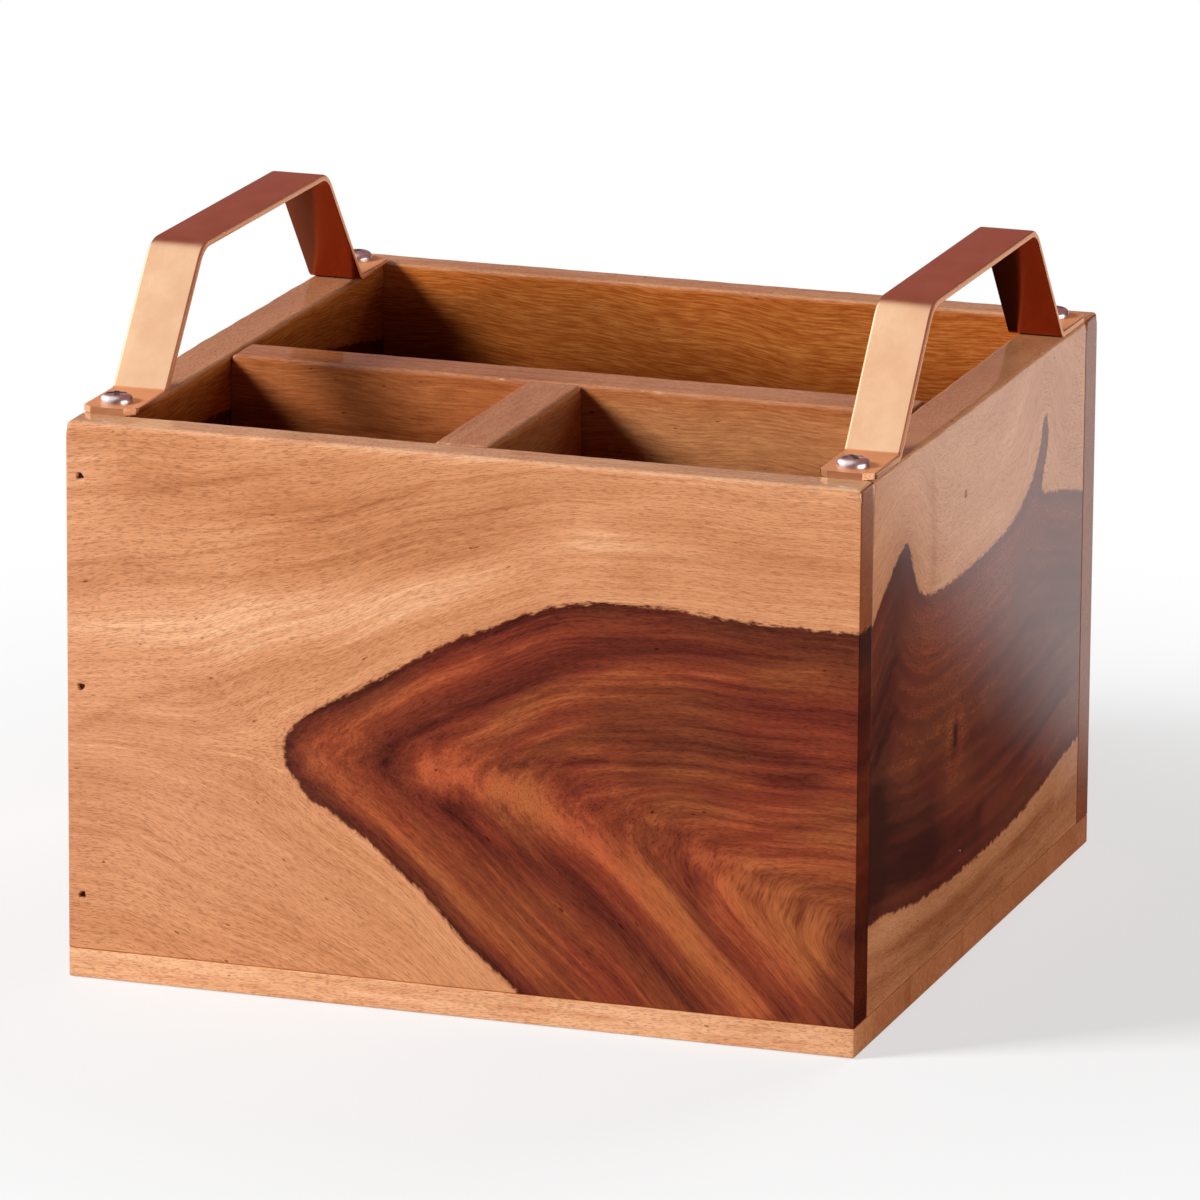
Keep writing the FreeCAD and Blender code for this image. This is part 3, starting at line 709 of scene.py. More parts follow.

# %% [markdown]
# The boards' materials share one scheme, and each sets its own strengths in it: a ramp for sapwood, a
# ramp for heartwood that drifts between red and olive, the mask between them, and then what lies on top:
# flecks, the golden varnish inside the bays, painted shade that darkens the inner faces further down,
# thirsty end grain, chips and the dark of a nail pit.

# %% Wood
SAPWOOD = (paint(160, 94, 58), paint(196, 129, 86), paint(216, 151, 107), paint(238, 183, 140))
HEARTWOOD = (paint(64, 28, 21), paint(104, 47, 34), paint(139, 68, 43), paint(184, 100, 60))
BAY_VARNISH = (paint(212, 162, 100), paint(232, 186, 122), paint(250, 214, 150))
# colour of the painted shade that darkens the bays' inner faces further down
BAY_PAINTED_SHADE = paint(158, 140, 122)
END_VARNISH = paint(174, 135, 104)
BASE_END_VARNISH = paint(226, 206, 192)
CHIP_PALE = paint(226, 178, 136)
FLECK_BROWN = paint(128, 74, 46)
PIT_DARK = paint(104, 48, 34)
HEART_TINTS = (paint(255, 234, 238), paint(240, 250, 236))
TINT_LIMITS = (0.35, 0.65)
VARNISH_LIMITS = (0.3, 0.7)
MIDDLE_TONE = 0.55
STREAK_TONE = 0.4
CLOUD_SWING = 0.6
FIBRE_SWING = 0.35
BAY_CALM = 0.5
RING_SWING = 0.6
RING_MIDDLE = 0.23
FLECK_SHARE = 0.44
BAY_FLECK_LOSS = 0.2
SPECK_SHARE = 0.75
STREAK_RELIEF = 0.5
BUMP_STRENGTH = 0.15
PORE_DEPTH = 0.012 * MM
LACQUER_IOR = 1.38


def masked(tree, name):
    """A mask that the mesh carries."""
    return add(tree, "ShaderNodeAttribute", attribute_name=name).outputs["Fac"]


def centred(tree, value, strength):
    """A noise value swung evenly about zero."""
    return calc(tree, "MULTIPLY", calc(tree, "SUBTRACT", value, 0.5), strength)


def wood(name, edge_line, varnish=1.0, streakiness=0.9, end_varnish=END_VARNISH, depth_shade=1.0):
    """A board's material: how dark the heartwood's outline is drawn, how golden the inner faces are, how much
    the fibres differ, the varnish on its ends and how strong the painted shade is further down the inner
    faces."""
    material, tree, surface = new_material(name)
    grain = add(tree, "ShaderNodeAttribute", attribute_name="grain").outputs["Vector"]
    lines = use_group(tree, grain_group, {"Grain": grain})
    figure = use_group(tree, heart_group, {"Depth": masked(tree, "heart"), "Ragged": lines["Tooth"]})
    finish = use_group(tree, lacquer_group, {"Grain": grain, "Arris": masked(tree, "arris"),
                                             "Fleck": lines["Fleck"], "Cloud": lines["Cloud"]})

    inside = masked(tree, "inside")
    streaky = centred(tree, lines["Streak"], streakiness)
    swing = calc(tree, "ADD", streaky, centred(tree, lines["Cloud"], CLOUD_SWING))
    swing = calc(tree, "MULTIPLY", swing, calc(tree, "MULTIPLY_ADD", inside, -BAY_CALM, 1.0))
    swing = calc(tree, "ADD", swing, centred(tree, lines["Fibre"], FIBRE_SWING))
    tone = calc(tree, "MULTIPLY_ADD", masked(tree, "tone"), STREAK_TONE, MIDDLE_TONE)
    tone = calc(tree, "ADD", tone, swing)
    heart_tone = calc(tree, "SUBTRACT", tone, calc(tree, "MULTIPLY", figure["Edge"], edge_line))
    rings = calc(tree, "MULTIPLY_ADD", figure["Ring"], RING_SWING, -RING_MIDDLE)
    heart_tone = calc(tree, "ADD", heart_tone, rings)
    red_or_olive = ramp(tree, ease(tree, lines["Cloud"], *TINT_LIMITS), HEART_TINTS)
    dark = blend(tree, 1.0, ramp(tree, heart_tone, HEARTWOOD), red_or_olive, "MULTIPLY")
    colour = blend(tree, figure["Heart"], ramp(tree, tone, SAPWOOD), dark)
    fleck_share = calc(tree, "MULTIPLY_ADD", inside, -BAY_FLECK_LOSS, FLECK_SHARE)
    fleck = calc(tree, "MULTIPLY", lines["Fleck"], fleck_share)
    fleck = calc(tree, "MAXIMUM", fleck, calc(tree, "MULTIPLY", lines["Speck"], SPECK_SHARE))
    colour = blend(tree, fleck, colour, FLECK_BROWN, "MULTIPLY")
    golden = ramp(tree, ease(tree, lines["Fibre"], *VARNISH_LIMITS), BAY_VARNISH)
    colour = blend(tree, calc(tree, "MULTIPLY", inside, varnish), colour, golden, "MULTIPLY")
    # painted shade: the inner faces darken further down the bays
    painted_shade = calc(tree, "MULTIPLY", masked(tree, "deep"), depth_shade)
    colour = blend(tree, painted_shade, colour, BAY_PAINTED_SHADE, "MULTIPLY")
    colour = blend(tree, masked(tree, "end_grain"), colour, end_varnish, "MULTIPLY")
    colour = blend(tree, finish["Chip"], colour, CHIP_PALE)
    colour = blend(tree, masked(tree, "pit"), colour, PIT_DARK)

    height = calc(tree, "SUBTRACT", calc(tree, "MULTIPLY", lines["Streak"], STREAK_RELIEF), lines["Fleck"])
    bump = add(tree, "ShaderNodeBump", {"Height": height, "Strength": BUMP_STRENGTH, "Distance": PORE_DEPTH})
    tree.links.new(colour, surface.inputs["Base Color"])
    tree.links.new(finish["Dullness"], surface.inputs["Roughness"])
    tree.links.new(bump.outputs["Normal"], surface.inputs["Normal"])
    surface.inputs["IOR"].default_value = LACQUER_IOR
    return material


wood_of_slot = {
    "front_wood": wood("front_rosewood", edge_line=0.4),
    "side_wood": wood("side_rosewood", edge_line=0.12, streakiness=0.35),
    "back_wood": wood("back_rosewood", edge_line=0.4),
    # the base's inner face takes only a little of the painted shade
    "base_wood": wood("base_rosewood", edge_line=0.2, end_varnish=BASE_END_VARNISH, depth_shade=0.2),
    "divider_wood": wood("divider_rosewood", edge_line=0.2, varnish=0.65),
}
SLOT_OF_BOARD = {
    "front_panel": "front_wood", "back_panel": "back_wood", "left_panel": "side_wood",
    "right_panel": "side_wood", "long_divider": "divider_wood", "short_divider": "divider_wood",
    "base_board": "base_wood",
}
for node_name, board in boards.items():
    slot = SLOT_OF_BOARD[node_name]
    board.data.materials.append(wood_of_slot[slot])
    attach(board, "root")
    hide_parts(node_name)
print("boards dressed:", sorted(boards))

# %% [markdown]
# Metal is the other finish. Both the copper straps and the screws were brushed and handled, so fine brush
# lines and slow smudges are one group. The straps are satin copper, a little tarnished in clouds, and
# redder where the eye skims along them, which the shader's Specular Tint gives as the colour of the
# metal's edge. Their underside is painted a darker brown, as painted shade. The feet were scuffed by the
# driver and the edges by the shears: there the surface is rough and scatters light more than it mirrors.

# %% Group for brushed metal, with sizes in millimetres
SMUDGE_SIZE = (14.0, 9.0)
LINE_DULLNESS = 0.12
SMUDGE_DULLNESS = 0.25

brush_group, takes, gives = new_group("brushed_metal", [
    ("Place", "Vector", None), ("Line length", "Float", 30.0), ("Line width", "Float", 0.15)],
    ["Lines", "Smudge", "Dullness"])
in_mm = add(brush_group, "ShaderNodeVectorMath", {0: takes["Place"], "Scale": 1 / MM},
            operation="SCALE").outputs[0]
turned = split(brush_group, in_mm)
swapped = vector(brush_group, X=turned["Y"], Y=turned["X"], Z=turned["Z"])
lines_at = stretch(brush_group, swapped, takes["Line length"], takes["Line width"])
brushed = noise(brush_group, lines_at, detail=3.0, roughness=0.6)
smudge = noise(brush_group, stretch(brush_group, swapped, *SMUDGE_SIZE), detail=4.0, roughness=0.6)
brush_group.links.new(brushed, gives["Lines"])
brush_group.links.new(smudge, gives["Smudge"])
line_dull = centred(brush_group, brushed, LINE_DULLNESS)
dull = calc(brush_group, "ADD", line_dull, centred(brush_group, smudge, SMUDGE_DULLNESS))
brush_group.links.new(dull, gives["Dullness"])
print("brushed metal group nodes:", len(brush_group.nodes))


# %% Metals
SCUFFED_METALLIC = 0.25
SCUFFED_ROUGHNESS = 0.2
SMUDGE_SHADE = 0.7
LINE_SHADE = 0.3
SHADE_LIMITS = (0.3, 0.7)
BRUSH_DEPTH = 0.02 * MM


def metal(name, colours, roughness, edge_tint=(1, 1, 1, 1), painted_underside_shade=None, scuffed=None):
    """A brushed metal; where the mesh says so it has painted shade or is scuffed, each in its own colour."""
    material, tree, surface = new_material(name)
    place = add(tree, "ShaderNodeTexCoord").outputs["Object"]
    brush = use_group(tree, brush_group, {"Place": place})
    clouded = calc(tree, "MULTIPLY", brush["Smudge"], SMUDGE_SHADE)
    shade = calc(tree, "ADD", clouded, calc(tree, "MULTIPLY", brush["Lines"], LINE_SHADE))
    colour = ramp(tree, ease(tree, shade, *SHADE_LIMITS), colours)
    # painted shade: the underside takes its own darker colour
    if painted_underside_shade:
        colour = blend(tree, masked(tree, "painted_underside_shade"), colour, painted_underside_shade)
    dull = calc(tree, "ADD", brush["Dullness"], roughness)
    surface.inputs["Metallic"].default_value = 1.0
    if scuffed:
        scuff = masked(tree, "scuffed")
        colour = blend(tree, scuff, colour, scuffed)
        dull = calc(tree, "ADD", dull, calc(tree, "MULTIPLY", scuff, SCUFFED_ROUGHNESS))
        mirroring = calc(tree, "MULTIPLY_ADD", scuff, SCUFFED_METALLIC - 1.0, 1.0)
        tree.links.new(mirroring, surface.inputs["Metallic"])
    tree.links.new(colour, surface.inputs["Base Color"])
    tree.links.new(dull, surface.inputs["Roughness"])
    bump = add(tree, "ShaderNodeBump", {
        "Height": brush["Lines"], "Strength": BUMP_STRENGTH, "Distance": BRUSH_DEPTH})
    tree.links.new(bump.outputs["Normal"], surface.inputs["Normal"])
    surface.inputs["Specular Tint"].default_value = edge_tint
    return material


# the darker brown on the strap's underside is painted shade
copper = metal("satin_copper", (paint(226, 176, 138), paint(238, 194, 156)), roughness=0.2,
               edge_tint=(1.0, 0.75, 0.7, 1.0), painted_underside_shade=paint(168, 84, 54), scuffed=paint(250, 172, 118))
nickel = metal("nickel_plate", (paint(206, 192, 192), paint(230, 218, 218)), roughness=0.32)
nail_steel = metal("dark_nail_steel", (paint(70, 40, 32), paint(104, 66, 54)), roughness=0.5)
for row in NAIL_ROWS:
    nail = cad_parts[row]
    nail.data.materials.clear()
    nail.data.materials.append(nail_steel)
print("metals:", copper.name, nickel.name, nail_steel.name)

# %% [markdown]
# A handle is a flat strap bent four times: sharply at the feet, in a press, and in wider curves at the
# grip, where fingers go. Its shape follows a path, so Geometry Nodes make it: the path runs from foot to
# foot, Fillet Curve rounds its bends by their height, and Curve to Mesh pulls an oblong along it. Shears
# roll the upper edge over and leave the lower one crisp, so the oblong's upper corners are rounder. The
# ends have their corners clipped by a rule on the distance to the end of the foot.

# %% Sizes of the straps, in millimetres
STRAP_THICKNESS = 1.5
UPPER_EDGE_RADIUS = 0.6
LOWER_EDGE_RADIUS = 0.15
FOOT_LENGTH = 20.0
LEG_REACH = 22.5
GRIP_BEND_RADIUS = 7.0
FOOT_BEND_RADIUS = 1.5
FOOT_CORNER_CLIP = 2.5
BEND_STEPS = 8
EDGE_STEPS = 4
FOOT_RINGS = 12
FOOT_RINGS_END = 0.5
FOOT_RINGS_CROWDING = 1.5
HARD_CORNER = math.radians(40)


def geometry_tree(name, floats):
    """A geometry tree with named sizes, a material and its ends."""
    tree = bpy.data.node_groups.new(name, "GeometryNodeTree")
    tree.interface.new_socket("Geometry", in_out="INPUT", socket_type="NodeSocketGeometry")
    for label in floats:
        tree.interface.new_socket(label, in_out="INPUT", socket_type="NodeSocketFloat")
    tree.interface.new_socket("Material", in_out="INPUT", socket_type="NodeSocketMaterial")
    tree.interface.new_socket("Geometry", in_out="OUTPUT", socket_type="NodeSocketGeometry")
    return tree, tree.nodes.new("NodeGroupInput").outputs, tree.nodes.new("NodeGroupOutput").inputs


def finish_tree(tree, shape, material, end):
    """Smooth shading with hard corners kept, real geometry and one material."""
    smooth = add(tree, "GeometryNodeSetShadeSmooth", {"Geometry": shape}).outputs[0]
    corner = add(tree, "GeometryNodeInputMeshEdgeAngle").outputs["Unsigned Angle"]
    hard = add(tree, "FunctionNodeCompare", {0: corner, 1: HARD_CORNER}, operation="GREATER_THAN").outputs[0]
    smooth = add(tree, "GeometryNodeSetShadeSmooth", {
        "Geometry": smooth, "Selection": hard, "Shade Smooth": False}, domain="EDGE").outputs[0]
    real = add(tree, "GeometryNodeRealizeInstances", {"Geometry": smooth}).outputs[0]
    dressed = add(tree, "GeometryNodeSetMaterial", {"Geometry": real, "Material": material}).outputs[0]
    tree.links.new(dressed, end)


def grow(carrier, tree, values, piece_name):
    """Runs a tree on a carrier object and keeps the result as a plain piece."""
    modifier = carrier.modifiers.new(tree.name, "NODES")
    modifier.node_group = tree
    for socket in tree.interface.items_tree:
        if socket.in_out == "INPUT" and socket.name in values:
            modifier[socket.identifier] = values[socket.name]
    bpy.context.view_layer.update()
    ready = carrier.evaluated_get(bpy.context.evaluated_depsgraph_get())
    mesh = bpy.data.meshes.new_from_object(ready)
    carrier.modifiers.clear()
    bpy.data.objects.remove(carrier)
    mesh.name = piece_name
    piece = new_piece(piece_name, mesh)
    print(piece_name, "faces:", len(mesh.polygons))
    return piece


# %% The strap's tree
strap_tree, takes, gives = geometry_tree("bent_strap", [
    "Strap width", "Strap thickness", "Upper edge radius", "Lower edge radius", "Grip bend radius",
    "Foot bend radius", "Middle height", "Corner clip", "Foot end"])
at = split(strap_tree, add(strap_tree, "GeometryNodeInputPosition").outputs[0])
at_grip = calc(strap_tree, "GREATER_THAN", at["Z"], takes["Middle height"])
wider = calc(strap_tree, "SUBTRACT", takes["Grip bend radius"], takes["Foot bend radius"])
bend_radius = calc(strap_tree, "MULTIPLY_ADD", at_grip, wider, takes["Foot bend radius"])
path = add(strap_tree, "GeometryNodeFilletCurve", {
    "Curve": takes["Geometry"], "Radius": bend_radius, "Count": BEND_STEPS, "Limit Radius": True},
    mode="POLY").outputs[0]
section = add(strap_tree, "GeometryNodeCurvePrimitiveQuadrilateral", {
    "Width": takes["Strap width"], "Height": takes["Strap thickness"]}).outputs[0]
upper = calc(strap_tree, "LESS_THAN", at["Y"], 0.0)
rounder = calc(strap_tree, "SUBTRACT", takes["Upper edge radius"], takes["Lower edge radius"])
edge_radius = calc(strap_tree, "MULTIPLY_ADD", upper, rounder, takes["Lower edge radius"])
section = add(strap_tree, "GeometryNodeFilletCurve", {
    "Curve": section, "Radius": edge_radius, "Count": EDGE_STEPS}, mode="POLY").outputs[0]
strap = add(strap_tree, "GeometryNodeCurveToMesh", {
    "Curve": path, "Profile Curve": section, "Fill Caps": True}).outputs[0]
to_end = calc(strap_tree, "SUBTRACT", takes["Foot end"], calc(strap_tree, "ABSOLUTE", at["Y"]))
cut = calc(strap_tree, "MAXIMUM", calc(strap_tree, "SUBTRACT", takes["Corner clip"], to_end), 0.0)
half = calc(strap_tree, "SUBTRACT", calc(strap_tree, "MULTIPLY", takes["Strap width"], 0.5), cut)
limited = calc(strap_tree, "MAXIMUM", at["X"], calc(strap_tree, "MULTIPLY", half, -1.0))
limited = calc(strap_tree, "MINIMUM", limited, half)
clipped = vector(strap_tree, X=limited, Y=at["Y"], Z=at["Z"])
strap = add(strap_tree, "GeometryNodeSetPosition", {"Geometry": strap, "Position": clipped}).outputs[0]
finish_tree(strap_tree, strap, takes["Material"], gives[0])
print("strap tree nodes:", len(strap_tree.nodes))


# %% The two straps
UNDER_STEEPNESS = 2.5
UNDER_START = 0.25
SCUFF_STEEPNESS = 6.0
SHEARED_SHARE = 0.75
SHEARED_START = 4.8
CLIPPED_START = 2.5
DRIVEN_FROM = 0.8
DRIVEN_FADE = 0.15


def strap_path(low, high):
    """The strap's middle line, from the front foot's end over the grip to the rear foot's end."""
    middle = STRAP_THICKNESS / 2
    lower_rise = high[2] - low[2] - STRAP_THICKNESS
    setback = middle * math.tan(math.atan2(lower_rise, LEG_REACH) / 2)
    foot = low[1] + FOOT_LENGTH - setback
    grip = low[1] + FOOT_LENGTH + LEG_REACH - setback
    shares = np.linspace(0, FOOT_RINGS_END, FOOT_RINGS) ** FOOT_RINGS_CROWDING
    feet = [low[1] + share * (foot - low[1]) for share in shares]
    front = [(along, low[2] + middle) for along in feet + [foot]] + [(grip, high[2] - middle)]
    return front + [(low[1] + high[1] - along, up) for along, up in reversed(front)]


for side in ("left", "right"):
    low, high = node_box(side + "_handle")
    line = bpy.data.curves.new(side + "_strap_path", "CURVE")
    line.dimensions = "3D"
    places = strap_path(low, high)
    spline = line.splines.new("POLY")
    spline.points.add(len(places) - 1)
    for point, (along, up) in zip(spline.points, places):
        point.co = (0, along * MM, up * MM, 1)
    strap = grow(new_piece(side + "_strap_path", line), strap_tree, {
        "Strap width": (high[0] - low[0]) * MM, "Strap thickness": STRAP_THICKNESS * MM,
        "Upper edge radius": UPPER_EDGE_RADIUS * MM, "Lower edge radius": LOWER_EDGE_RADIUS * MM,
        "Grip bend radius": (GRIP_BEND_RADIUS + STRAP_THICKNESS / 2) * MM,
        "Foot bend radius": (FOOT_BEND_RADIUS + STRAP_THICKNESS / 2) * MM,
        "Middle height": (low[2] + high[2]) / 2 * MM,
        "Corner clip": FOOT_CORNER_CLIP * MM, "Foot end": high[1] * MM, "Material": copper},
        side + "_copper_strap")
    strap.data.transform(Matrix.Translation(((low[0] + high[0]) / 2 * MM, 0, 0)))
    normals = np.array([normal.vector for normal in strap.data.vertex_normals])
    heights = np.array([point.co.z for point in strap.data.vertices]) / MM
    on_foot = heights < low[2] + 2 * STRAP_THICKNESS
    # painted shade: the strap's downward faces take the darker brown
    under = smooth_step(-UNDER_STEEPNESS * normals[:, 2] - UNDER_START)
    sheared = SHEARED_SHARE * smooth_step(SCUFF_STEEPNESS * np.abs(normals[:, 0]) - SHEARED_START)
    driven = on_foot * smooth_step((normals[:, 2] - DRIVEN_FROM) / DRIVEN_FADE)
    slanted = np.abs(normals[:, :2]).min(axis=1)
    corners = on_foot * smooth_step(SCUFF_STEEPNESS * slanted - CLIPPED_START)
    set_attribute(strap.data, "painted_underside_shade", under)
    set_attribute(strap.data, "scuffed", np.maximum(np.maximum(driven, corners), sheared))
    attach(strap, "root")
    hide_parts(side + "_handle")

# %% [markdown]
# Four pan-head screws hold the feet. They are one shape repeated, so a single tree makes the head, cuts
# the cross recess, sets the thread's ridges as rings down to the point and puts a copy on each of four
# points, each turned as the driver left it. The head is a cylinder whose points are drawn to a dome with
# full shoulders.

# %% Sizes of the screws, in millimetres, and their turns in degrees
HEAD_SQUARENESS = 3.4
RECESS_SPAN = 4.4
RECESS_WIDTH = 1.2
RECESS_DEPTH = 1.2
CORE_DIAMETER = 2.6
THREAD_DEPTH = 0.55
THREAD_RIDGES = 6.0
HEAD_HEIGHT = 2.1
SCREW_TURNS = {"left_handle_front_screw": 22, "left_handle_rear_screw": 70, "right_handle_front_screw": 38,
               "right_handle_rear_screw": 8}


# %% The screw's tree, with shares of a cylinder of size 1
HEAD_SEGMENTS = (64, 12, 8)
SHANK_SEGMENTS = (24, 48, 1)
SEAT_MARGIN = 0.001
POINT_FROM = 0.7
POINT_SHARE = 0.08

screw_tree, takes, gives = geometry_tree("pan_head_screw", [
    "Head diameter", "Head height", "Recess span", "Recess width", "Recess depth", "Core diameter",
    "Thread depth", "Shank length"])


def solid_cylinder(vertices, sides, fills):
    """A cylinder of radius 1 that stands from 0 to 1."""
    made = add(screw_tree, "GeometryNodeMeshCylinder", {
        "Vertices": vertices, "Side Segments": sides, "Fill Segments": fills, "Radius": 1.0,
        "Depth": 1.0}).outputs["Mesh"]
    return add(screw_tree, "GeometryNodeTransform", {"Geometry": made, "Translation": (0, 0, 0.5)}).outputs[0]


def reshape(shape, radial, upward):
    """Each point's distance from the axis and its height, multiplied."""
    place = add(screw_tree, "GeometryNodeInputPosition").outputs[0]
    moved = scaled(screw_tree, place, vector(screw_tree, X=radial, Y=radial, Z=upward))
    return add(screw_tree, "GeometryNodeSetPosition", {"Geometry": shape, "Position": moved}).outputs[0]


at = split(screw_tree, add(screw_tree, "GeometryNodeInputPosition").outputs[0])
squares = [calc(screw_tree, "POWER", at[axis], 2.0) for axis in ("X", "Y")]
radius = calc(screw_tree, "SQRT", calc(screw_tree, "ADD", *squares))
upright = calc(screw_tree, "MAXIMUM", at["Z"], 0.0)
corner = calc(screw_tree, "ADD", calc(screw_tree, "POWER", radius, HEAD_SQUARENESS),
              calc(screw_tree, "POWER", upright, HEAD_SQUARENESS))
drawn = calc(screw_tree, "DIVIDE", 1.0, calc(screw_tree, "POWER", corner, 1 / HEAD_SQUARENESS))
above = calc(screw_tree, "GREATER_THAN", at["Z"], SEAT_MARGIN)
pull = calc(screw_tree, "MULTIPLY_ADD", calc(screw_tree, "SUBTRACT", drawn, 1.0), above, 1.0)
head = reshape(solid_cylinder(*HEAD_SEGMENTS), pull, pull)
head = reshape(head, calc(screw_tree, "MULTIPLY", takes["Head diameter"], 0.5), takes["Head height"])
wings = []
for long_side, short_side in (("X", "Y"), ("Y", "X")):
    size = vector(screw_tree, **{
        long_side: takes["Recess span"], short_side: takes["Recess width"],
        "Z": calc(screw_tree, "MULTIPLY", takes["Recess depth"], 2.0)})
    wing = add(screw_tree, "GeometryNodeMeshCube", {"Size": size}).outputs["Mesh"]
    lift = vector(screw_tree, Z=takes["Head height"])
    wings.append(add(screw_tree, "GeometryNodeTransform", {"Geometry": wing, "Translation": lift}).outputs[0])
recess = add(screw_tree, "GeometryNodeMeshBoolean", {"Mesh 1": head}, operation="DIFFERENCE")
for wing in wings:
    screw_tree.links.new(wing, recess.inputs["Mesh 2"])
saw = calc(screw_tree, "PINGPONG", calc(screw_tree, "MULTIPLY", at["Z"], THREAD_RIDGES), 0.5)
ridge = calc(screw_tree, "MULTIPLY", calc(screw_tree, "MULTIPLY", saw, 2.0), takes["Thread depth"])
thick = calc(screw_tree, "ADD", calc(screw_tree, "MULTIPLY", takes["Core diameter"], 0.5), ridge)
thick = calc(screw_tree, "MULTIPLY", thick, ease(screw_tree, at["Z"], 1.0, POINT_FROM, POINT_SHARE, 1.0))
downward = calc(screw_tree, "MULTIPLY", takes["Shank length"], -1.0)
shank = reshape(solid_cylinder(*SHANK_SEGMENTS), thick, downward)
shank = add(screw_tree, "GeometryNodeFlipFaces", {"Mesh": shank}).outputs[0]
whole = add(screw_tree, "GeometryNodeJoinGeometry")
screw_tree.links.new(recess.outputs[0], whole.inputs[0])
screw_tree.links.new(shank, whole.inputs[0])
turn = add(screw_tree, "GeometryNodeInputNamedAttribute", {"Name": "turn"}, data_type="FLOAT")
spun = vector(screw_tree, Z=turn.outputs["Attribute"])
copies = add(screw_tree, "GeometryNodeInstanceOnPoints", {
    "Points": takes["Geometry"], "Instance": whole.outputs[0], "Rotation": spun}).outputs[0]
copies = add(screw_tree, "GeometryNodeRealizeInstances", {"Geometry": copies}).outputs[0]
finish_tree(screw_tree, copies, takes["Material"], gives[0])
print("screw tree nodes:", len(screw_tree.nodes))

# %% The four screws
seats = []
for screw in SCREW_TURNS:
    low, high = node_box(screw)
    seats.append(((low[0] + high[0]) / 2 * MM, (low[1] + high[1]) / 2 * MM, (high[2] - HEAD_HEIGHT) * MM))
dots = bpy.data.meshes.new("screw_seats")
dots.from_pydata(seats, [], [])
set_attribute(dots, "turn", np.radians(list(SCREW_TURNS.values())))
low, high = node_box("left_handle_front_screw")
screws = grow(new_piece("screw_seats", dots), screw_tree, {
    "Head diameter": (high[0] - low[0]) * MM, "Head height": HEAD_HEIGHT * MM,
    "Recess span": RECESS_SPAN * MM, "Recess width": RECESS_WIDTH * MM, "Recess depth": RECESS_DEPTH * MM,
    "Core diameter": CORE_DIAMETER * MM, "Thread depth": THREAD_DEPTH * MM,
    "Shank length": (high[2] - low[2] - HEAD_HEIGHT) * MM, "Material": nickel}, "handle_screws")
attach(screws, "root")
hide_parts(*SCREW_TURNS)

# %% [markdown]
# The stage is a wide pale floor, a hair below the base so that no two faces share a plane. It reads as
# white to the camera and still takes the box's shadow. Lacquer and copper mirror it, and there it is
# black at the right and round the box's foot, and white behind, as if a black card lay beside the box.
# That leaves the lower right board deep and gives its far upper corner a sheen.

# %% Floor, in metres
FLOOR_HALF = 8.0
FLOOR_HEIGHT = -0.0002
SHADOW_REACH = 0.14
SHADOW_END = 0.36
CLEAR_FLOOR_SHARE = 0.6
OFF_BLACK_CARD = (-0.886, 0.463, 0.0)
BLACK_CARD_END = -0.044
WHITE_FLOOR_FROM = -0.002
MIRRORED_WHITE = 0.78
CONTACT_DARK = 0.11
CONTACT_END = 0.24
FLOOR_ROUGHNESS = 0.9
FLOOR_GREY = (0.93, 0.93, 0.93, 1)
MIRRORED_BLACK = (0.05, 0.035, 0.03, 1)


def floor_material():
    """A floor that is white to the camera away from the box's shadow, and black or white in mirrors."""
    material, tree, surface = new_material("pale_floor_paint")
    surface.inputs["Roughness"].default_value = FLOOR_ROUGHNESS
    place = add(tree, "ShaderNodeTexCoord").outputs["Object"]
    ray = add(tree, "ShaderNodeLightPath").outputs
    reflected = calc(tree, "MAXIMUM", ray["Is Glossy Ray"], ray["Is Transmission Ray"])
    tree.links.new(blend(tree, reflected, FLOOR_GREY, MIRRORED_BLACK), surface.inputs["Base Color"])
    from_box = add(tree, "ShaderNodeVectorMath", {0: place}, operation="LENGTH").outputs["Value"]
    seen = ease(tree, from_box, SHADOW_REACH, SHADOW_END, CLEAR_FLOOR_SHARE, 1.0)
    off_card = dot(tree, place, OFF_BLACK_CARD)
    beyond_card = ease(tree, off_card, BLACK_CARD_END, WHITE_FLOOR_FROM, 0.0, MIRRORED_WHITE)
    mirrored = calc(tree, "MULTIPLY", reflected, beyond_card)
    mirrored = calc(tree, "MULTIPLY", mirrored, ease(tree, from_box, CONTACT_DARK, CONTACT_END))
    share = calc(tree, "MAXIMUM", calc(tree, "MULTIPLY", ray["Is Camera Ray"], seen), mirrored)
    white = add(tree, "ShaderNodeEmission", {"Color": (1, 1, 1, 1), "Strength": 1.0}).outputs[0]
    mixed = add(tree, "ShaderNodeMixShader", {0: share, 1: surface.outputs[0], 2: white}).outputs[0]
    tree.links.new(mixed, tree.nodes["Material Output"].inputs["Surface"])
    return material


ground = bpy.data.meshes.new("floor")
floor_corners = [(along * FLOOR_HALF, back * FLOOR_HALF, FLOOR_HEIGHT)
                 for along, back in ((-1, -1), (1, -1), (1, 1), (-1, 1))]
ground.from_pydata(floor_corners, [], [(0, 1, 2, 3)])
ground.materials.append(floor_material())
floor = new_piece("floor", ground)
print("floor half width in m:", FLOOR_HALF)


# %% [markdown]
# The key light stands at the front left and not very high, so the left walls' shadows slant across the
# bays. It would burn out in the copper, so mirrors don't see it. They see a broad white card near its
# place instead, which shines in the straps' legs, and a brighter wall at the left, which draws their
# edges. A low card at the right lifts the right board without lighting the bays. A weak lamp behind,
# which mirrors don't see either, lifts the rims. The room is grey at eye level and dim overhead, so the
# bays stay deep. Mirrors see it brown, so that the straps' level grips read dark, and black low at the
# right, where the black card goes on above the floor.


# %% Lights, in metres and watts
LIT_POINT = Vector((0, 0, 0.07))


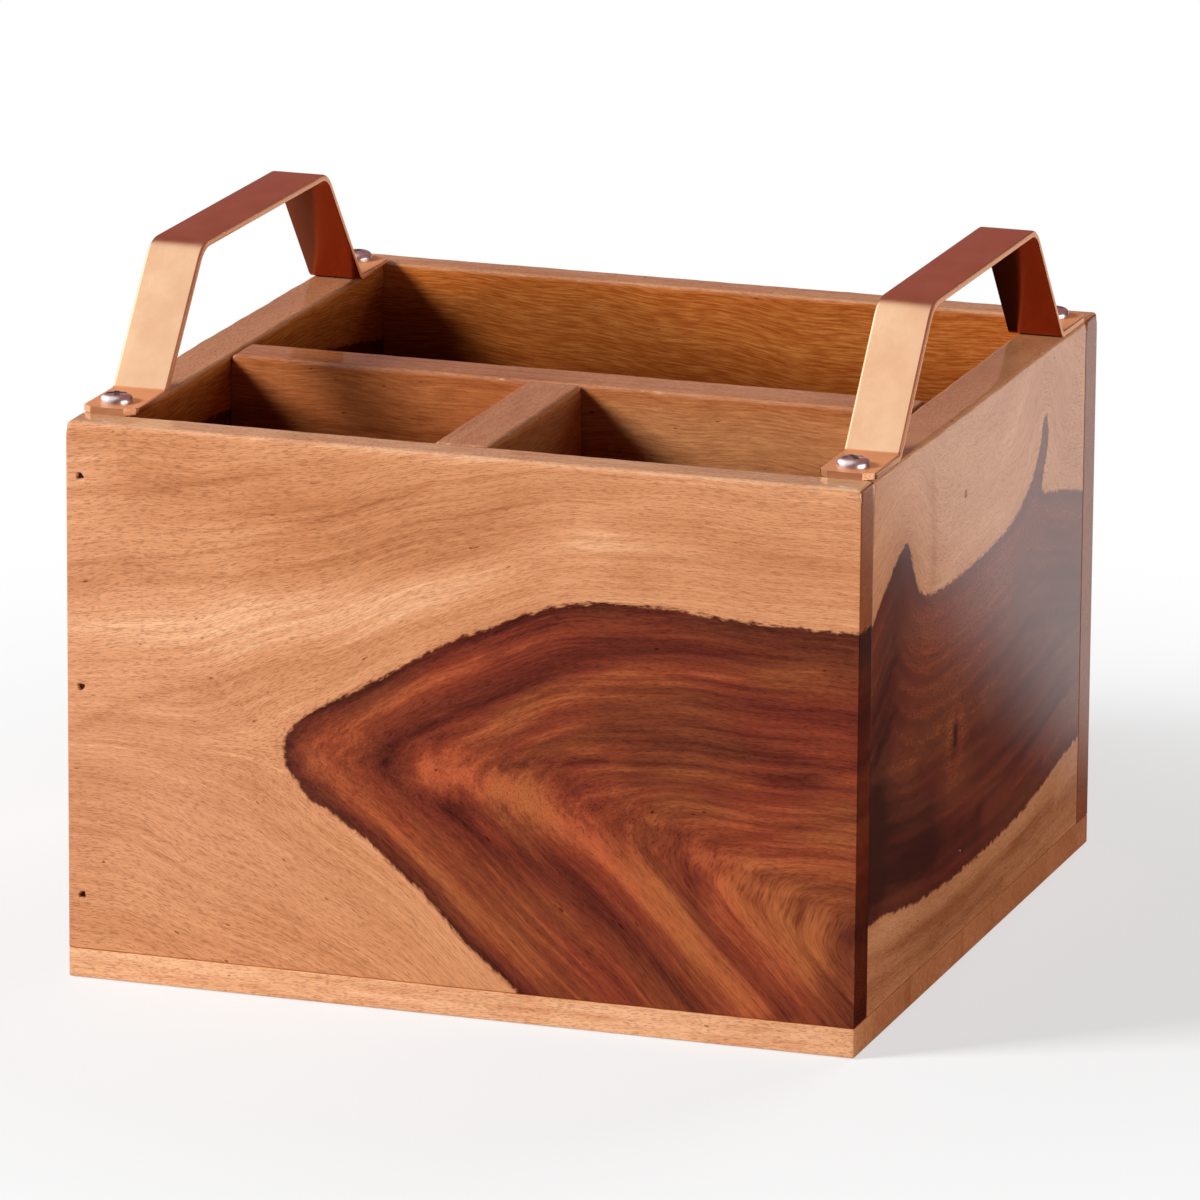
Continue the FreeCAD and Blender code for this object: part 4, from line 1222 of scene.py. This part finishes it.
def soft_light(name, place, width, height, power):
    """A lamp with a flat shade that faces the box and stays out of the picture."""
    lamp = bpy.data.lights.new(name, "AREA")
    lamp.shape = "RECTANGLE"
    lamp.size = width
    lamp.size_y = height
    lamp.energy = power
    light = new_piece(name, lamp)
    light.location = place
    light.rotation_mode = "QUATERNION"
    light.rotation_quaternion = (LIT_POINT - Vector(place)).to_track_quat("-Z", "Y")
    light.visible_camera = False
    return light


key = soft_light("key", place=(-1.4, -1.06, 1.1), width=0.6, height=0.6, power=51)
right_card = soft_light("right_card", place=(1.6, -0.4, 0.1), width=1.4, height=0.2, power=13)
back = soft_light("back", place=(0.5, 1.9, 1.0), width=1.2, height=1.2, power=20)
for lamp in (key, back):
    lamp.visible_glossy = False
print("lights:", [lamp.name for lamp in (key, right_card, back)])

# %% Room
ROOM_EYE_LEVEL = (0.32, 0.32, 0.32, 1)
ROOM_OVERHEAD = (0.01, 0.01, 0.01, 1)
MIRRORED_BROWN = (0.34, 0.155, 0.15, 1)
MIRRORED_CARD = (1.12, 1.12, 1.12, 1)
MIRRORED_WALL = (2.2, 2.2, 2.2, 1)
TOWARDS_CARD = Vector((-0.62, -0.35, 0.7)).normalized()
TOWARDS_WALL = Vector((-1, 0.0, 0.25)).normalized()
CARD_LIMITS = (0.5, 0.85)
WALL_LIMITS = (0.72, 0.84)
OVERHEAD_FROM = 0.35
RIGHT_LIMITS = (0.0, 0.25)
LOW_LIMITS = (0.1, 0.35)

world = bpy.data.worlds.new("studio")
bpy.context.scene.world = world
world.use_nodes = True
tree = world.node_tree
direction = add(tree, "ShaderNodeTexCoord").outputs["Generated"]
heading = split(tree, direction)
room = ramp(tree, ease(tree, heading["Z"], 0.0, OVERHEAD_FROM), (ROOM_EYE_LEVEL, ROOM_OVERHEAD))
at_right = ease(tree, heading["X"], *RIGHT_LIMITS)
low_right = calc(tree, "MULTIPLY", at_right, ease(tree, heading["Z"], *LOW_LIMITS, 1.0, 0.0))
mirrored = blend(tree, low_right, MIRRORED_BROWN, MIRRORED_BLACK)
for towards, limits, white in (
        (TOWARDS_CARD, CARD_LIMITS, MIRRORED_CARD), (TOWARDS_WALL, WALL_LIMITS, MIRRORED_WALL)):
    facing = dot(tree, direction, towards)
    mirrored = blend(tree, ease(tree, facing, *limits), mirrored, white)
mirror_ray = add(tree, "ShaderNodeLightPath").outputs["Is Glossy Ray"]
shade = blend(tree, mirror_ray, room, mirrored)
tree.links.new(shade, tree.nodes["Background"].inputs["Color"])
tree.nodes["Background"].inputs["Strength"].default_value = 1.0
bpy.context.scene.view_settings.view_transform = "Standard"
print("room nodes:", len(tree.nodes))

# %% [markdown]
# The camera was solved from the box's corners in the picture: a long lens from the front, a little to the
# right and above, with a slight roll.

# %% Camera
PICTURE_WIDTH = 1200
SENSOR_WIDTH = 36
FOCAL_PIXELS = 9981
AZIMUTH = math.radians(18.634)
ELEVATION = math.radians(14.533)
ROLL = math.radians(0.426)
DISTANCE = 2195.7 * MM
TARGET = Vector((1.7 * MM, 0, 70.5 * MM))

backward = Vector((math.sin(AZIMUTH) * math.cos(ELEVATION), -math.cos(AZIMUTH) * math.cos(ELEVATION),
                   math.sin(ELEVATION)))
rightward = Vector((math.cos(AZIMUTH), math.sin(AZIMUTH), 0))
upward = backward.cross(rightward)
rolled_right = math.cos(ROLL) * rightward + math.sin(ROLL) * upward
rolled_up = math.cos(ROLL) * upward - math.sin(ROLL) * rightward
lens = bpy.data.cameras.new("camera")
lens.sensor_width = SENSOR_WIDTH
lens.lens = FOCAL_PIXELS * lens.sensor_width / PICTURE_WIDTH
camera = new_piece("camera", lens)
turned = Matrix((rolled_right, rolled_up, backward)).transposed().to_4x4()
camera.matrix_world = Matrix.Translation(TARGET + backward * DISTANCE) @ turned
bpy.context.scene.camera = camera
print("lens in mm:", round(lens.lens, 1))
